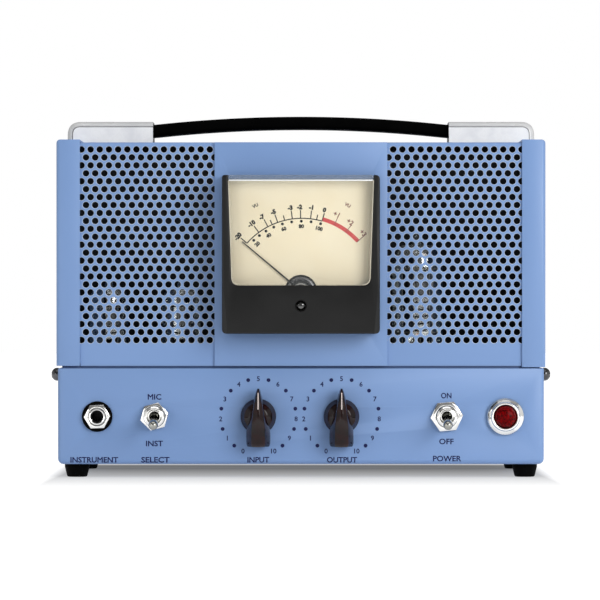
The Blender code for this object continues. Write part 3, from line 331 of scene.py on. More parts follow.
def piece(name, shape, finish, where=(0, 0, 0), turn=(0, 0, 0), body="case", standsFor=(),
          crease=usualCrease):
    mesh = bpy.data.meshes.new(name)
    shape.to_mesh(mesh)
    shape.free()
    mesh.materials.append(finish)
    mesh.shade_smooth()
    mesh.set_sharp_from_angle(angle=math.radians(crease))
    made = bpy.data.objects.new(name, mesh)
    bpy.context.scene.collection.objects.link(made)
    made.location = where
    made.rotation_euler = turn
    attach(made, body)
    if standsFor:
        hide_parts(*standsFor)
    return made


def dress(name, finish, edge=0.0):
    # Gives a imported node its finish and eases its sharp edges
    node = nodes[name]
    node.data.materials.clear()
    node.data.materials.append(finish)
    join = node.modifiers.new("join", "WELD")
    join.merge_threshold = tiny
    if edge:
        ease = node.modifiers.new("ease", "BEVEL")
        ease.width = edge
        ease.segments = 2
        ease.limit_method = "ANGLE"
        ease.angle_limit = math.radians(easedFrom)
        ease.use_clamp_overlap = True
        ease.harden_normals = False
    node.data.shade_smooth()
    node.data.set_sharp_from_angle(angle=math.radians(usualCrease))


def letters(text, cap, width=None, centre=(0, 0), tilt=0.0, thick=0.04 * mm, weight=0.0):
    # Plain capitals and numbers, cap tall, centred, standing thick above local z = 0
    font = bpy.data.curves.new("letters", "FONT")
    font.body = text
    font.resolution_u = 3
    font.extrude = 0.5
    font.bevel_depth = weight
    font.bevel_resolution = 0
    shape = fromCurve(font)
    xs = [v.co.x for v in shape.verts]
    ys = [v.co.y for v in shape.verts]
    tall = cap / (max(ys) - min(ys))
    wide = tall if width is None else width / (max(xs) - min(xs))
    middle = Vector(((min(xs) + max(xs)) / 2, (min(ys) + max(ys)) / 2, -0.5 - weight))
    bmesh.ops.translate(shape, verts=shape.verts, vec=-middle)
    bmesh.ops.scale(shape, verts=shape.verts, vec=(wide, tall, thick))
    return moved(shape, (*centre, 0), (0, 0, tilt))


def hexagon(flats, bore, low, high, start, edge):
    corner = flats / 2 / math.cos(math.radians(30))
    return slab([ring(corner, 6, start=start), ring(bore, 40)], low, high, edge)


chamfer = {"near": 0.485, "far": 0.62, "slope": math.radians(32), "lift": 0.01 * mm, "over": 2 * mm}
threadShare = 0.45


def chamferTool(flats, height):
    # A ring that turns the corners off a hexagon's face
    near, far = flats * chamfer["near"], flats * chamfer["far"]
    drop = (far - near) * math.tan(chamfer["slope"])
    return lathe([(near, height + chamfer["lift"]), (near, height + chamfer["over"]),
                  (far, height + chamfer["over"]), (far, height - drop)], 64, True)


def thread(radius, low, high, pitch, sides=40):
    # Ridges of a fine thread, as turned rings
    profile = []
    height = low
    while height < high - pitch:
        profile += [(radius - pitch * threadShare, height), (radius, height + pitch / 2)]
        height += pitch
    return profile


# Steel case

perforation = {"pitch": 5.0 * mm, "hole": 3.66 * mm, "rim": 0.2 * mm, "rimDepth": 0.16 * mm,
               "sheet": 1.0 * mm, "frontRows": 25, "topRow": 178.8 * mm, "across": 0.3 * mm,
               "edge": 44.0 * mm, "fold": 1.6 * mm, "foldSteps": 5, "notch": 1.5 * mm,
               "notchFrom": 120.25 * mm, "lastRow": 0.6}
rowStep = perforation["pitch"] * math.sin(math.radians(60))
cellPoint = perforation["pitch"] / 2 / math.cos(math.radians(30))
sheetEdge = {"case": 0.25 * mm, "deck": 0.2 * mm}
lip = {"fromFront": 1.3 * mm, "fromRear": 2.3 * mm, "deep": 1 * mm, "below": 0.2 * mm, "above": 1.2 * mm,
       "edge": 0.2 * mm, "endReach": 0.9 * mm, "endBelow": 3 * mm, "endGap": 0.2 * mm, "endEdge": 0.1 * mm}


def dressCase():
    for name in ("chassis_pan", "cage_end_left", "cage_end_right", "meter_plate"):
        dress(name, bluePaint, sheetEdge["case"])
    # The deck in the near-black paint, painted shade inside the case
    dress("deck_plate", blackPaintAndPaintedShade, sheetEdge["deck"])
    # A folded lip that closes the gap between the pan and the cage, in a darker blue that paints the shade in
    # the seam
    deck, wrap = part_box("deck_plate")[1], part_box("cage_wrap")
    half = perforation["notchFrom"]
    lips = []
    for y in (wrap[0].y + lip["fromFront"], wrap[1].y - lip["fromRear"]):
        lips.append(box((-half, y, deck.z - lip["below"]), (half, y + lip["deep"], wrap[0].z + lip["above"]),
                        lip["edge"]))
        for side in (-1, 1):
            near, far = sorted((side * half, side * (deck.x + lip["endReach"])))
            lips.append(box((near, y, deck.z - lip["endBelow"]),
                            (far, y + lip["deep"], wrap[0].z - lip["endGap"]), lip["endEdge"]))
    piece("seam_shade_lips", together(*lips), seamPaintedShade)


def addFace(shape, corners):
    shape.faces.new([shape.verts.new((*corner, 0)) for corner in corners])


def perforatedCells(columns, rows, firstX, firstY, shifted=0):
    # Six-sided cells, each with a round hole; half cells make the ends straight
    pitch, radius = perforation["pitch"], perforation["hole"] / 2
    step, point = rowStep, cellPoint
    shape = bmesh.new()
    for row in range(rows):
        late = (row + shifted) % 2
        y = firstY + row * step
        for column in range(columns - late):
            x = firstX + (column + late / 2) * pitch
            outer, rim, inner = [], [], []
            for k in range(12):
                angle = k * quarter / 3
                reach = point if k % 2 else pitch / 2
                for line, away, depth in ((outer, reach, 0), (rim, radius + perforation["rim"], 0),
                                          (inner, radius, -perforation["rimDepth"])):
                    place = (x + away * math.cos(angle), y + away * math.sin(angle), depth)
                    line.append(shape.verts.new(place))
            for k in range(12):
                j = (k + 1) % 12
                shape.faces.new((outer[k], outer[j], rim[j], rim[k]))
                # The chamfer round each hole takes the pale paint, a painted glint
                shape.faces.new((rim[k], rim[j], inner[j], inner[k])).material_index = 1
        if late:
            for side, x in ((1, firstX - pitch / 2), (-1, firstX + (columns - 0.5) * pitch)):
                ends = [(x, y - point), (x + side * pitch / 2, y - point / 2), (x + side * pitch / 2, y),
                        (x + side * pitch / 2, y + point / 2), (x, y + point)]
                addFace(shape, ends)
    return shape


def straightEdge(shape, columns, firstX, rowY, late, side, lineY):
    # Fills from the zigzag of an end row to a straight line
    pitch = perforation["pitch"]
    point = cellPoint
    halves = columns * 2
    for k in range(halves):
        xs = [firstX + (k + j - 1) * pitch / 2 for j in (0, 1)]
        tips = []
        for j, x in zip((k, k + 1), xs):
            high = (j + late) % 2 == 1
            tips.append((x, rowY + side * (point if high else point / 2)))
        if late and k in (0, halves - 1):
            outerTip = 0 if k == 0 else 1
            tips[outerTip] = (tips[outerTip][0], rowY + side * point)
        addFace(shape, (*tips, (xs[1], lineY), (xs[0], lineY)))


def perforatedSheet(columns, rows, firstX, firstY, low, high, left, right, shifted=0):
    # The cells with plain strips round them, in local x and y
    pitch = perforation["pitch"]
    step = rowStep
    highest, high = high, max(high, firstY + (rows - 1) * step + pitch * perforation["lastRow"])
    shape = perforatedCells(columns, rows, firstX, firstY, shifted)
    straightEdge(shape, columns, firstX, firstY, shifted % 2, -1, low)
    straightEdge(shape, columns, firstX, firstY + (rows - 1) * step, (rows - 1 + shifted) % 2, 1, high)
    bmesh.ops.remove_doubles(shape, verts=shape.verts, dist=tiny)
    bmesh.ops.recalc_face_normals(shape, faces=shape.faces)
    edges = (firstX - pitch / 2, firstX + (columns - 0.5) * pitch)
    for edgeX, outX in zip(edges, (left, right)):
        ys = sorted({round(v.co.y, 7) for v in shape.verts if abs(v.co.x - edgeX) < tiny})
        for y0, y1 in zip(ys, ys[1:]):
            addFace(shape, ((edgeX, y0), (outX, y0), (outX, y1), (edgeX, y1)))
    bmesh.ops.remove_doubles(shape, verts=shape.verts, dist=tiny)
    if high > highest:
        everything = shape.verts[:] + shape.edges[:] + shape.faces[:]
        bmesh.ops.bisect_plane(shape, geom=everything, plane_co=(0, highest, 0), plane_no=(0, 1, 0),
                               clear_outer=True)
    bmesh.ops.recalc_face_normals(shape, faces=shape.faces)
    if shape.faces[0].normal.z < 0:
        bmesh.ops.reverse_faces(shape, faces=shape.faces)
    return shape


def thickened(made, depth):
    # Gives a sheet its wall, with a pale paint on the rims round its holes as painted glints, and a
    # near-black inner side as painted shade inside the case
    made.data.materials.append(rimPaintedGlint)
    made.data.materials.append(blackPaintAndPaintedShade)
    wall = made.modifiers.new("wall", "SOLIDIFY")
    wall.thickness = depth
    wall.offset = -1
    wall.use_even_offset = True
    wall.material_offset = 2
    wall.material_offset_rim = 2
    made.data = settled(made)
    made.data.set_sharp_from_angle(angle=math.radians(usualCrease))
    return made


def settled(made):
    # The mesh with its modifiers worked out
    bpy.context.view_layer.update()
    seen = made.evaluated_get(bpy.context.evaluated_depsgraph_get())
    result = bpy.data.meshes.new_from_object(seen)
    made.modifiers.clear()
    return result


def makePerforatedFront():
    low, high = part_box("cage_wrap")
    pitch, step = perforation["pitch"], rowStep
    rows = perforation["frontRows"]
    firstRow = perforation["topRow"] - (rows - 1) * step
    top = high.z - perforation["fold"]
    columns = int((high.x - perforation["edge"]) / pitch)
    start = perforation["across"] + math.ceil(perforation["edge"] / pitch) * pitch
    bottom = low.z + perforation["notch"]
    rightSheet = perforatedSheet(columns, rows, start, firstRow, bottom, top, perforation["edge"], high.x)
    start = perforation["across"] - math.ceil(perforation["edge"] / pitch) * pitch - (columns - 1) * pitch
    leftSheet = perforatedSheet(columns, rows, start, firstRow, bottom, top, low.x, -perforation["edge"])
    for shape, first, last in ((rightSheet, perforation["edge"], perforation["notchFrom"]),
                               (leftSheet, -perforation["notchFrom"], -perforation["edge"])):
        addFace(shape, ((first, low.z), (last, low.z), (last, bottom), (first, bottom)))
    right = piece("grille_right", rightSheet, bluePaint, (0, low.y, 0), facing,
                  standsFor=("cage_wrap",), crease=50)
    left = piece("grille_left", leftSheet, bluePaint, (0, low.y, 0), facing, crease=50)
    for made in (left, right):
        thickened(made, perforation["sheet"])


def makePerforatedTop():
    # The top and the folds at its front and rear, one sheet with the plain back
    low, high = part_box("cage_wrap")
    pitch, step = perforation["pitch"], rowStep
    fold = perforation["fold"]
    flatLow, flatHigh = low.y + fold, high.y - fold
    rows = int((flatHigh - flatLow - pitch) / step) + 1
    firstY = (flatLow + flatHigh - (rows - 1) * step) / 2
    columns = int((high.x - low.x - 2 * pitch) / pitch)
    firstX = -(columns - 1) * pitch / 2
    shape = perforatedSheet(columns, rows, firstX, firstY, flatLow, flatHigh, low.x, high.x)
    made = piece("grille_top", shape, bluePaint, (0, 0, high.z), crease=50)
    thickened(made, perforation["sheet"])
    steps = perforation["foldSteps"]
    arc = [(math.sin(k * quarter / steps), math.cos(k * quarter / steps)) for k in range(steps + 1)]
    front = [(flatLow - fold * s, high.z - fold + fold * c) for s, c in arc]
    rear = [(flatHigh + fold * s, high.z - fold + fold * c) for s, c in arc]
    rear.append((high.y, low.z + perforation["notch"]))
    for name, line in (("front_fold", front), ("back_sheet", rear)):
        bend = bmesh.new()
        sides = [[bend.verts.new((x, y, z)) for y, z in line] for x in (low.x, high.x)]
        for k in range(len(line) - 1):
            bend.faces.new((sides[0][k], sides[0][k + 1], sides[1][k + 1], sides[1][k]))
        outward = -1 if name == "front_fold" else 1
        if name == "back_sheet":
            half, notchTop = perforation["notchFrom"], low.z + perforation["notch"]
            ends = ((-half, notchTop), (-half, low.z), (half, low.z), (half, notchTop))
            bend.faces.new([bend.verts.new((x, high.y, z)) for x, z in ends])
        bmesh.ops.recalc_face_normals(bend, faces=bend.faces)
        for face in [f for f in bend.faces if abs(f.normal.y) > 0.99 and f.normal.y * outward < 0]:
            face.normal_flip()
        if sum(f.normal.y * f.calc_area() for f in bend.faces) * outward < 0:
            bmesh.ops.reverse_faces(bend, faces=bend.faces)
        thickened(piece(name, bend, bluePaint, crease=50), perforation["sheet"])


foot = {"narrowShare": 0.8, "edge": 1.2 * mm, "washer": 3.4 * mm, "washerEase": 0.4 * mm,
        "wellDepth": 3.0 * mm, "rimDrop": 1.4 * mm, "rimEase": 0.4 * mm, "screw": 2.8 * mm,
        "screwFace": 0.6 * mm, "screwEase": 0.5 * mm, "crossHalf": 1.7 * mm, "crossWidth": 0.4 * mm,
        "crossLow": 0.4 * mm, "crossHigh": 0.62 * mm}


def makeFoot(name):
    low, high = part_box(name)
    centre = ((low.x + high.x) / 2, (low.y + high.y) / 2, low.z)
    wide, tall = (high.x - low.x) / 2, high.z - low.z
    narrow = wide * foot["narrowShare"]
    rubber = lathe(eased([(0, foot["wellDepth"], 0), (foot["washer"], foot["wellDepth"], 0),
                          (foot["washer"], 0, foot["washerEase"]), (narrow, 0, foot["edge"]),
                          (wide, tall - foot["rimDrop"], foot["rimEase"]), (wide, tall, 0),
                          (0, tall, 0)]), 40)
    piece(name + "_rubber", rubber, blackRubber, centre, standsFor=(name,))
    head = lathe(eased([(0, foot["screwFace"], 0), (foot["screw"], foot["screwFace"], foot["screwEase"]),
                        (foot["screw"], foot["wellDepth"], 0), (0, foot["wellDepth"], 0)]), 24)
    bars = [box((-x, -y, foot["crossLow"]), (x, y, foot["crossHigh"]))
            for x, y in ((foot["crossWidth"], foot["crossHalf"]), (foot["crossHalf"], foot["crossWidth"]))]
    piece(name + "_screw", together(head, *bars), zincPlate, centre)


sideScrew = {"slotWidth": 0.9 * mm, "slotDepth": 1.0 * mm, "slotShare": 0.62, "slotAngle": 0.6,
             "washer": 0.5 * mm, "domeLow": 0.32, "domeHigh": 0.68, "domeSteps": 8, "under": 0.55,
             "underLift": 0.3 * mm, "shank": 0.5, "shankDepth": 1 * mm}


def makeSideScrew(name, sign):
    low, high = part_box(name)
    face = panHigh.x
    tall = (high.x if sign > 0 else -low.x) - face
    radius = (high.z - low.z) / 2
    dome = [(0, tall)]
    for k in range(1, sideScrew["domeSteps"] + 1):
        angle = k * quarter / sideScrew["domeSteps"]
        dome.append((radius * math.sin(angle),
                     tall * (sideScrew["domeLow"] + sideScrew["domeHigh"] * math.cos(angle))))
    shank, depth = radius * sideScrew["shank"], sideScrew["shankDepth"]
    head = lathe([*dome, (radius, sideScrew["washer"]), (radius * sideScrew["under"], sideScrew["underLift"]),
                  (shank, -depth), (0, -depth)], 36)
    where = (sign * face, (low.y + high.y) / 2, (low.z + high.z) / 2)
    made = piece(name + "_head", head, screwSteel, where, (0, sign * quarter, 0),
                 standsFor=(name,))
    half = radius * sideScrew["slotShare"]
    for k, angle in enumerate((sideScrew["slotAngle"], sideScrew["slotAngle"] + quarter)):
        tool = box((-half, -sideScrew["slotWidth"] / 2, tall - sideScrew["slotDepth"]),
                   (half, sideScrew["slotWidth"] / 2, tall + 1 * mm))
        cutWith(made, moved(tool, (0, 0, 0), (0, 0, angle)), f"slot_{k}")


def makeFeetAndScrews():
    for end in ("front", "rear"):
        for side in ("left", "right"):
            makeFoot(f"foot_{end}_{side}")
    for end in ("front", "rear"):
        for side, sign in (("left", -1), ("right", 1)):
            makeSideScrew(f"cage_screw_{end}_{side}", sign)


def cutWith(made, tool, name):
    # Cuts a shape given in the piece's own space out of it, for good
    mesh = bpy.data.meshes.new(name)
    tool.to_mesh(mesh)
    tool.free()
    cutter = bpy.data.objects.new(name, mesh)
    bpy.context.scene.collection.objects.link(cutter)
    cutter.matrix_world = made.matrix_world
    step = made.modifiers.new(name, "BOOLEAN")
    step.operation = "DIFFERENCE"
    step.object = cutter
    made.data = settled(made)
    made.data.set_sharp_from_angle(angle=math.radians(usualCrease))
    bpy.data.objects.remove(cutter)


dressCase()
makePerforatedFront()
makePerforatedTop()
makeFeetAndScrews()
print("case made")


# Lettering on the control panel: plain words for what each control does, and numbers

panelPrint = {"lift": 0.02 * mm, "cap": 3.1 * mm, "weight": 0.02, "row": 9.6 * mm, "dialRadius": 20.6 * mm,
              "dialStep": math.radians(31.2), "numeral": 2.7 * mm, "dot": 1.05 * mm, "ink": 0.04 * mm,
              "marks": 11}
# Word, its control, shift across, whether it is on the lower row, shift up, width; in mm
panelWords = [("INSTRUMENT", "jack_washer", -1.6, True, 0, 26.0),
              ("SELECT", "select_nut", 0.5, True, 0, 15.4),
              ("MIC", "select_nut", 0, False, 10.7, 7.4), ("INST", "select_nut", 0, False, -14.7, 9.3),
              ("INPUT", "input_shaft", 0, True, 0, 11.9), ("OUTPUT", "output_shaft", 0.3, True, 0, 16.4),
              ("ON", "power_nut", -0.3, False, 11.4, 5.7), ("OFF", "power_nut", -0.2, False, -13.6, 7.9),
              ("POWER", "power_nut", 0.2, True, 0.7, 15.4)]


def controlCentre(name):
    low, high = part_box(name)
    return (low.x + high.x) / 2, (low.z + high.z) / 2


def dialPoint(centreX, rowZ, angle):
    radius = panelPrint["dialRadius"]
    return centreX + radius * math.sin(angle), rowZ + radius * math.cos(angle)


def makePanelPrint():
    rowZ = controlCentre("jack_washer")[1]
    weight = panelPrint["weight"]
    shapes = []
    for text, control, aside, onLowRow, up, width in panelWords:
        base = panelPrint["row"] if onLowRow else rowZ
        place = (controlCentre(control)[0] + aside * mm, base + up * mm)
        shapes.append(letters(text, panelPrint["cap"], width * mm, place, weight=weight))
    for side in ("input", "output"):
        centreX = controlCentre(f"{side}_shaft")[0]
        for number in range(panelPrint["marks"]):
            angle = (number - panelPrint["marks"] // 2) * panelPrint["dialStep"]
            place = dialPoint(centreX, rowZ, angle)
            shapes.append(letters(str(number), panelPrint["numeral"], None, place, weight=weight))
            if number < panelPrint["marks"] - 1:
                dot = lathe([(0, panelPrint["ink"]), (panelPrint["dot"], panelPrint["ink"]),
                             (panelPrint["dot"], 0), (0, 0)], 20)
                angle += panelPrint["dialStep"] / 2
                shapes.append(moved(dot, (*dialPoint(centreX, rowZ, angle), 0)))
    piece("panel_print", together(*shapes), navyInk,
          (0, frontY - panelPrint["lift"], 0), facing, crease=20)


makePanelPrint()
print("panel print made")


# Meter

meter = {"windowCorner": 4.4 * mm, "windowDraft": 1.9 * mm, "topBand": 2.7 * mm, "corner": 2.6 * mm,
         "ease": 0.7 * mm, "plateGap": 0.3 * mm, "past": 1 * mm, "well": 3.3 * mm, "wellDepth": 3.2 * mm,
         "studs": 66.0 * mm, "studRadius": 2 * mm, "studLength": 10 * mm, "canRadius": 31 * mm,
         "canDepth": 28 * mm, "canEdge": 2 * mm}
# How the shell's front corners are drafted: height, width and depth taken off; in mm
shellDraft = [(-1, 3.2, 2.6), (31, 0.3, 0.3)]
# The bead and ledge sizes shape pale strips just inside the window's edge and under the top band: painted
# highlights of the clear cover's edges
cover = {"side": 0.2 * mm, "back": 1.8 * mm, "face": 0.2 * mm, "ease": 0.3 * mm, "gleamOut": 0.05 * mm,
         "gleamIn": 0.45 * mm, "gleamBack": 3 * mm, "gleamFace": 0.15 * mm, "gleamEase": 0.1 * mm,
         "bandFace": 0.1 * mm, "bandUp": 0.2 * mm, "bandEase": 0.9 * mm, "ledgeSide": 0.5 * mm,
         "ledgeFace": 0.05 * mm, "ledgeBack": 1.4 * mm, "ledgeLow": 0.55 * mm, "ledgeHigh": 0.1 * mm,
         "ledgeEase": 0.2 * mm}
scale = {"arcRadius": 40.0 * mm, "arcLine": 0.58 * mm, "redBand": 2.2 * mm, "redInside": 0.15,
         "redOutside": 0.85, "tick": 0.58 * mm, "lateTick": 0.7, "longTick": 4.2 * mm,
         "shortTick": 2.5 * mm, "redTick": 5.2 * mm, "numeral": 2.7 * mm, "numeralRadius": 45.9 * mm,
         "weight": 0.075, "lateWeight": 0.03, "aside": -0.5, "lateAside": -1.8, "percent": 2.25 * mm,
         "percentRadius": 35.4 * mm, "percentWeight": 0.06, "dotRadius": 38.15 * mm, "dot": 0.8 * mm,
         "unit": 1.9 * mm, "unitRadius": 53.0 * mm, "unitWeight": 0.04, "unitAngles": (-28.6, 27.8),
         "ink": 0.03 * mm, "lift": 0.015 * mm, "shift": 0.6 * mm, "drop": 0.3 * mm, "cardEdge": 0.1 * mm}
# Where each mark lies on the scale, in degrees from upright, and whether it has a number
scaleMarks = [(-48.8, "-20"), (-36.2, "-10"), (-27.8, "-7"), (-24.0, ""), (-19.4, "-5"), (-13.8, ""),
              (-7.6, "-3"), (-1.1, "-2"), (6.7, "-1"), (11.5, ""), (15.9, "0"), (25.8, "+1"),
              (36.5, "+2"), (48.0, "+3")]
percentMarks = [(-43.3, "20"), (-37.3, ""), (-30.8, "40"), (-23.7, ""), (-16.2, "60"), (-8.5, ""),
                (-0.6, "80"), (7.4, ""), (15.3, "100")]
zeroAngle = 15.9
bakelite = makeFinish("meterBlack", {
    "colour": tone(14, 14, 14), "second": tone(17, 17, 17), "patch": 60, "roughness": 0.36, "swing": 0.04,
    "specular": 0.25, "grain": 1600, "depth": 0.015 * mm, "strength": 0.2})
creamCard = makeFinish("creamCard", {
    "colour": tone(251, 240, 211), "second": tone(248, 235, 203), "patch": 45, "roughness": 0.75,
    "swing": 0.03, "specular": 0.2, "grain": 1800, "depth": 0.008 * mm})
scaleInk = makeFinish("scaleInk", {
    "colour": tone(4, 4, 4), "second": tone(8, 7, 6), "patch": 400, "roughness": 0.6,
    "specular": 0.1, "grain": 4000, "depth": 0.002 * mm})
redInk = makeFinish("redInk", {
    "colour": tone(206, 62, 62), "second": tone(214, 72, 70), "patch": 300, "roughness": 0.6,
    "grain": 4000, "depth": 0.002 * mm})
brownInk = makeFinish("brownInk", {
    "colour": tone(120, 64, 50), "second": tone(128, 70, 54), "patch": 300, "roughness": 0.6,
    "grain": 4000, "depth": 0.002 * mm})
clearCover = makeGlass("clearCover", {
    "colour": tone(238, 242, 242), "second": tone(232, 238, 238), "patch": 60, "roughness": 0.05,
    "swing": 0.01, "grain": 1500, "depth": 0.001 * mm, "edgeBlend": 0.2, "clearest": 0.03, "densest": 0.6})
coverEdge = makeGlass("coverEdge", {
    "colour": tone(150, 163, 180), "second": tone(140, 154, 172), "patch": 60, "roughness": 0.06,
    "swing": 0.02, "specular": 0.8, "grain": 1500, "depth": 0.002 * mm, "edgeBlend": 0.3,
    "clearest": 0.35, "densest": 0.8})
# A dull pale paint for the strips down the window's sides, a painted highlight of the cover's edge
sideGleamPaint = makeFinish("sideGleamPaint", {
    "colour": tone(196, 188, 168), "second": tone(210, 204, 186), "patch": 60, "roughness": 0.2,
    "grain": 1500, "depth": 0.001 * mm})
# A near-white paint for the strip under the top band, a painted highlight of the cover's inner edge
topGleamPaint = makeFinish("topGleamPaint", {
    "colour": tone(246, 248, 250), "patch": 60, "roughness": 0.12, "grain": 1500, "depth": 0.001 * mm})


def windowOutline(inset=0.0):
    low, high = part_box("meter_window")
    scaleLow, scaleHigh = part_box("meter_scale")
    topHalf = scaleHigh.x - inset
    lowHalf = topHalf - meter["windowDraft"]
    bottom = scaleLow.z + inset
    top = high.z - meter["topBand"] - inset
    corner = meter["windowCorner"]
    return eased([(topHalf, top, 0), (-topHalf, top, 0), (-lowHalf, bottom, corner),
                  (lowHalf, bottom, corner)], 8, True)


def draftTool(side, low, high, front):
    # A wedge off one front corner of the shell, deepest at its foot
    wedge = bmesh.new()
    for up, wide, deep in shellDraft:
        for x, z in ((high.x - wide * mm, front + meter["past"]), (high.x - wide * mm, front),
                     (high.x + meter["past"], front + meter["past"]),
                     (high.x + meter["past"], front - deep * mm * 1.3), (high.x, front - deep * mm)):
            wedge.verts.new((side * x, low.z + up * mm, z))
    bmesh.ops.convex_hull(wedge, input=wedge.verts)
    return wedge


def makeMeterShell():
    # A moulded shell with a tall window, its lower corners drafted
    low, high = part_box("meter_case")
    front = -low.y
    plate = -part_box("meter_plate")[0].y
    window = windowOutline()
    corner = meter["corner"]
    outline = eased([(high.x, high.z, corner), (high.x, low.z, corner), (low.x, low.z, corner),
                     (low.x, high.z, corner), (window[1][0], high.z, 0)], 4, True)
    around = [*outline, *window[1:], window[0], (window[0][0], high.z)]
    shape = slab([around], plate + meter["plateGap"], front, meter["ease"], 3)
    made = piece("meter_shell", shape, bakelite, turn=facing,
                 standsFor=("meter_case", "meter_apron"), crease=32)
    for side in (-1, 1):
        cutWith(made, draftTool(side, low, high, front), "draft")
    screwLow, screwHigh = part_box("meter_zero_screw")
    centre = ((screwLow.x + screwHigh.x) / 2, (screwLow.z + screwHigh.z) / 2, 0)
    mouth, bottom = front + 2 * meter["past"], front - meter["wellDepth"]
    well = lathe([(0, mouth), (meter["well"], mouth), (meter["well"], bottom), (0, bottom)], 40)
    cutWith(made, moved(well, centre), "well")
    makeMeterCan(plate, (0, (low.z + high.z) / 2, 0))


def makeMeterCan(plate, middle):
    # The can behind the panel, with its four studs
    inside, back = plate + meter["past"], plate - meter["canDepth"]
    can = lathe(eased([(0, back, 0), (meter["canRadius"], back, meter["canEdge"]),
                       (meter["canRadius"], inside, 0), (0, inside, 0)]), 64)
    half, radius, end = meter["studs"] / 2, meter["studRadius"], plate - meter["studLength"]
    studs = [moved(lathe([(0, inside), (radius, inside), (radius, end), (0, end)], 16), (x, y, 0))
             for x in (-half, half) for y in (-half, half)]
    piece("meter_can", moved(together(can, *studs), middle), bakelite, turn=facing)


def makeMeterCover():
    low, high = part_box("meter_window")
    face = -low.y
    pane = slab([windowOutline(cover["side"])], face - cover["back"], face - cover["face"], cover["ease"])
    piece("meter_pane", pane, clearCover, turn=facing, standsFor=("meter_window",))
    # Pale strips just inside the window's edge paint the highlight of the cover's edge
    outer, inner = windowOutline(cover["gleamOut"]), windowOutline(cover["gleamIn"])
    half = len(outer) // 2
    paths = ([*outer[1:half + 1], *reversed(inner[1:half + 1])],
             [*outer[half + 1:], outer[0], inner[0], *reversed(inner[half + 1:])])
    gleams = [slab([path], face - cover["gleamBack"], face - cover["gleamFace"], cover["gleamEase"])
             for path in paths]
    piece("meter_pane_gleam", together(*gleams), sideGleamPaint, turn=facing)
    under = high.z - meter["topBand"]
    band = box((low.x, low.y + cover["bandFace"], under + cover["bandUp"]), (high.x, high.y, high.z),
               cover["bandEase"], 4)
    piece("meter_top_band", band, coverEdge)
    # A white strip under the top band paints the highlight of the cover's inner edge
    topGleam = box((low.x + cover["ledgeSide"], low.y + cover["ledgeFace"], under - cover["ledgeLow"]),
                (high.x - cover["ledgeSide"], low.y + cover["ledgeBack"], under + cover["ledgeHigh"]),
                cover["ledgeEase"])
    piece("meter_window_gleam", topGleam, topGleamPaint)


def scalePoint(angle, radius, pivot):
    return pivot[0] + radius * math.sin(angle), pivot[1] + radius * math.cos(angle)


def arcBand(inner, outer, first, last, pivot, thick, steps=40):
    points = [scalePoint(first + (last - first) * i / steps, outer, pivot) for i in range(steps + 1)]
    points += [scalePoint(last + (first - last) * i / steps, inner, pivot) for i in range(steps + 1)]
    return slab([points], 0, thick)


def tickMark(angle, inner, outer, pivot, width, thick):
    shape = box((-width / 2, inner, 0), (width / 2, outer, thick))
    return moved(shape, (*pivot, 0), (0, 0, -angle))


def makeMeterScale():
    dress("meter_scale", creamCard, scale["cardEdge"])
    low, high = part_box("meter_scale")
    pivot = (scale["shift"], pivotHeight() - scale["drop"])
    arc, thick = scale["arcRadius"], scale["ink"]
    zero = math.radians(zeroAngle)
    first, last = math.radians(scaleMarks[0][0]), math.radians(scaleMarks[-1][0])
    black = [arcBand(arc - scale["arcLine"], arc, first, zero, pivot, thick)]
    red = [arcBand(arc - scale["redBand"] * scale["redInside"], arc + scale["redBand"] * scale["redOutside"],
                   zero, last, pivot, thick, 30)]
    brown = []
    for degrees, text in scaleMarks:
        angle = math.radians(degrees)
        late = degrees > zeroAngle + 1
        inks = brown if late else black
        long = scale["redTick"] if late else scale["longTick"] if text else scale["shortTick"]
        width = scale["tick"] * (scale["lateTick"] if late else 1)
        inks.append(tickMark(angle, arc, arc + long, pivot, width, thick))
        if text:
            aside = math.radians(scale["lateAside"] if late else scale["aside"])
            weight = scale["lateWeight"] if late else scale["weight"]
            place = scalePoint(angle + aside, scale["numeralRadius"], pivot)
            inks.append(letters(text, scale["numeral"], None, place, -angle, thick, weight))
    for degrees, text in percentMarks:
        angle = math.radians(degrees)
        dot = lathe([(0, thick), (scale["dot"], thick), (scale["dot"], 0), (0, 0)], 14)
        black.append(moved(dot, (*scalePoint(angle, scale["dotRadius"], pivot), 0)))
        if text:
            place = scalePoint(angle, scale["percentRadius"], pivot)
            black.append(letters(text, scale["percent"], None, place, -angle, thick, scale["percentWeight"]))
    for inks, degrees in zip((black, brown), scale["unitAngles"]):
        place = scalePoint(math.radians(degrees), scale["unitRadius"], pivot)
        inks.append(letters("VU", scale["unit"], None, place, math.radians(-degrees), thick,
                            scale["unitWeight"]))
    where = (0, low.y - scale["lift"], 0)
    for colour, inks, ink in (("black", black, scaleInk), ("red", red, redInk), ("brown", brown, brownInk)):
        piece(f"scale_print_{colour}", together(*inks), ink, where, facing, crease=20)


def pivotHeight():
    joint = next(j for j in frame["joints"] if j["name"] == "needle_swing")
    return joint["pos_m"][2]


movement = {"radius": 8.8 * mm, "tall": 7.0 * mm, "behind": 7.8 * mm, "edge": 1.0 * mm, "edgeEase": 0.6 * mm,
            "sideEase": 1.2 * mm, "ring": 6.9 * mm, "ringWire": 0.85 * mm, "ringBack": 0.9 * mm,
            "bridge": 3.6 * mm, "bridgeWire": 1.0 * mm, "bridgeBack": 0.6 * mm, "jewel": 1.7 * mm,
            "jewelTop": 1.5 * mm, "jewelSide": 1.1 * mm, "jewelEase": 0.4 * mm, "jewelBack": 0.6 * mm}
needle = {"tip": 41.6 * mm, "wide": 0.95 * mm, "thin": 0.5 * mm, "boss": 2.2 * mm}
hubGrey = makeFinish("hubGrey", {
    "colour": tone(118, 118, 120), "second": tone(96, 96, 98), "patch": 200, "roughness": 0.3,
    "metallic": 0.6, "grain": 1500, "depth": 0.01 * mm})


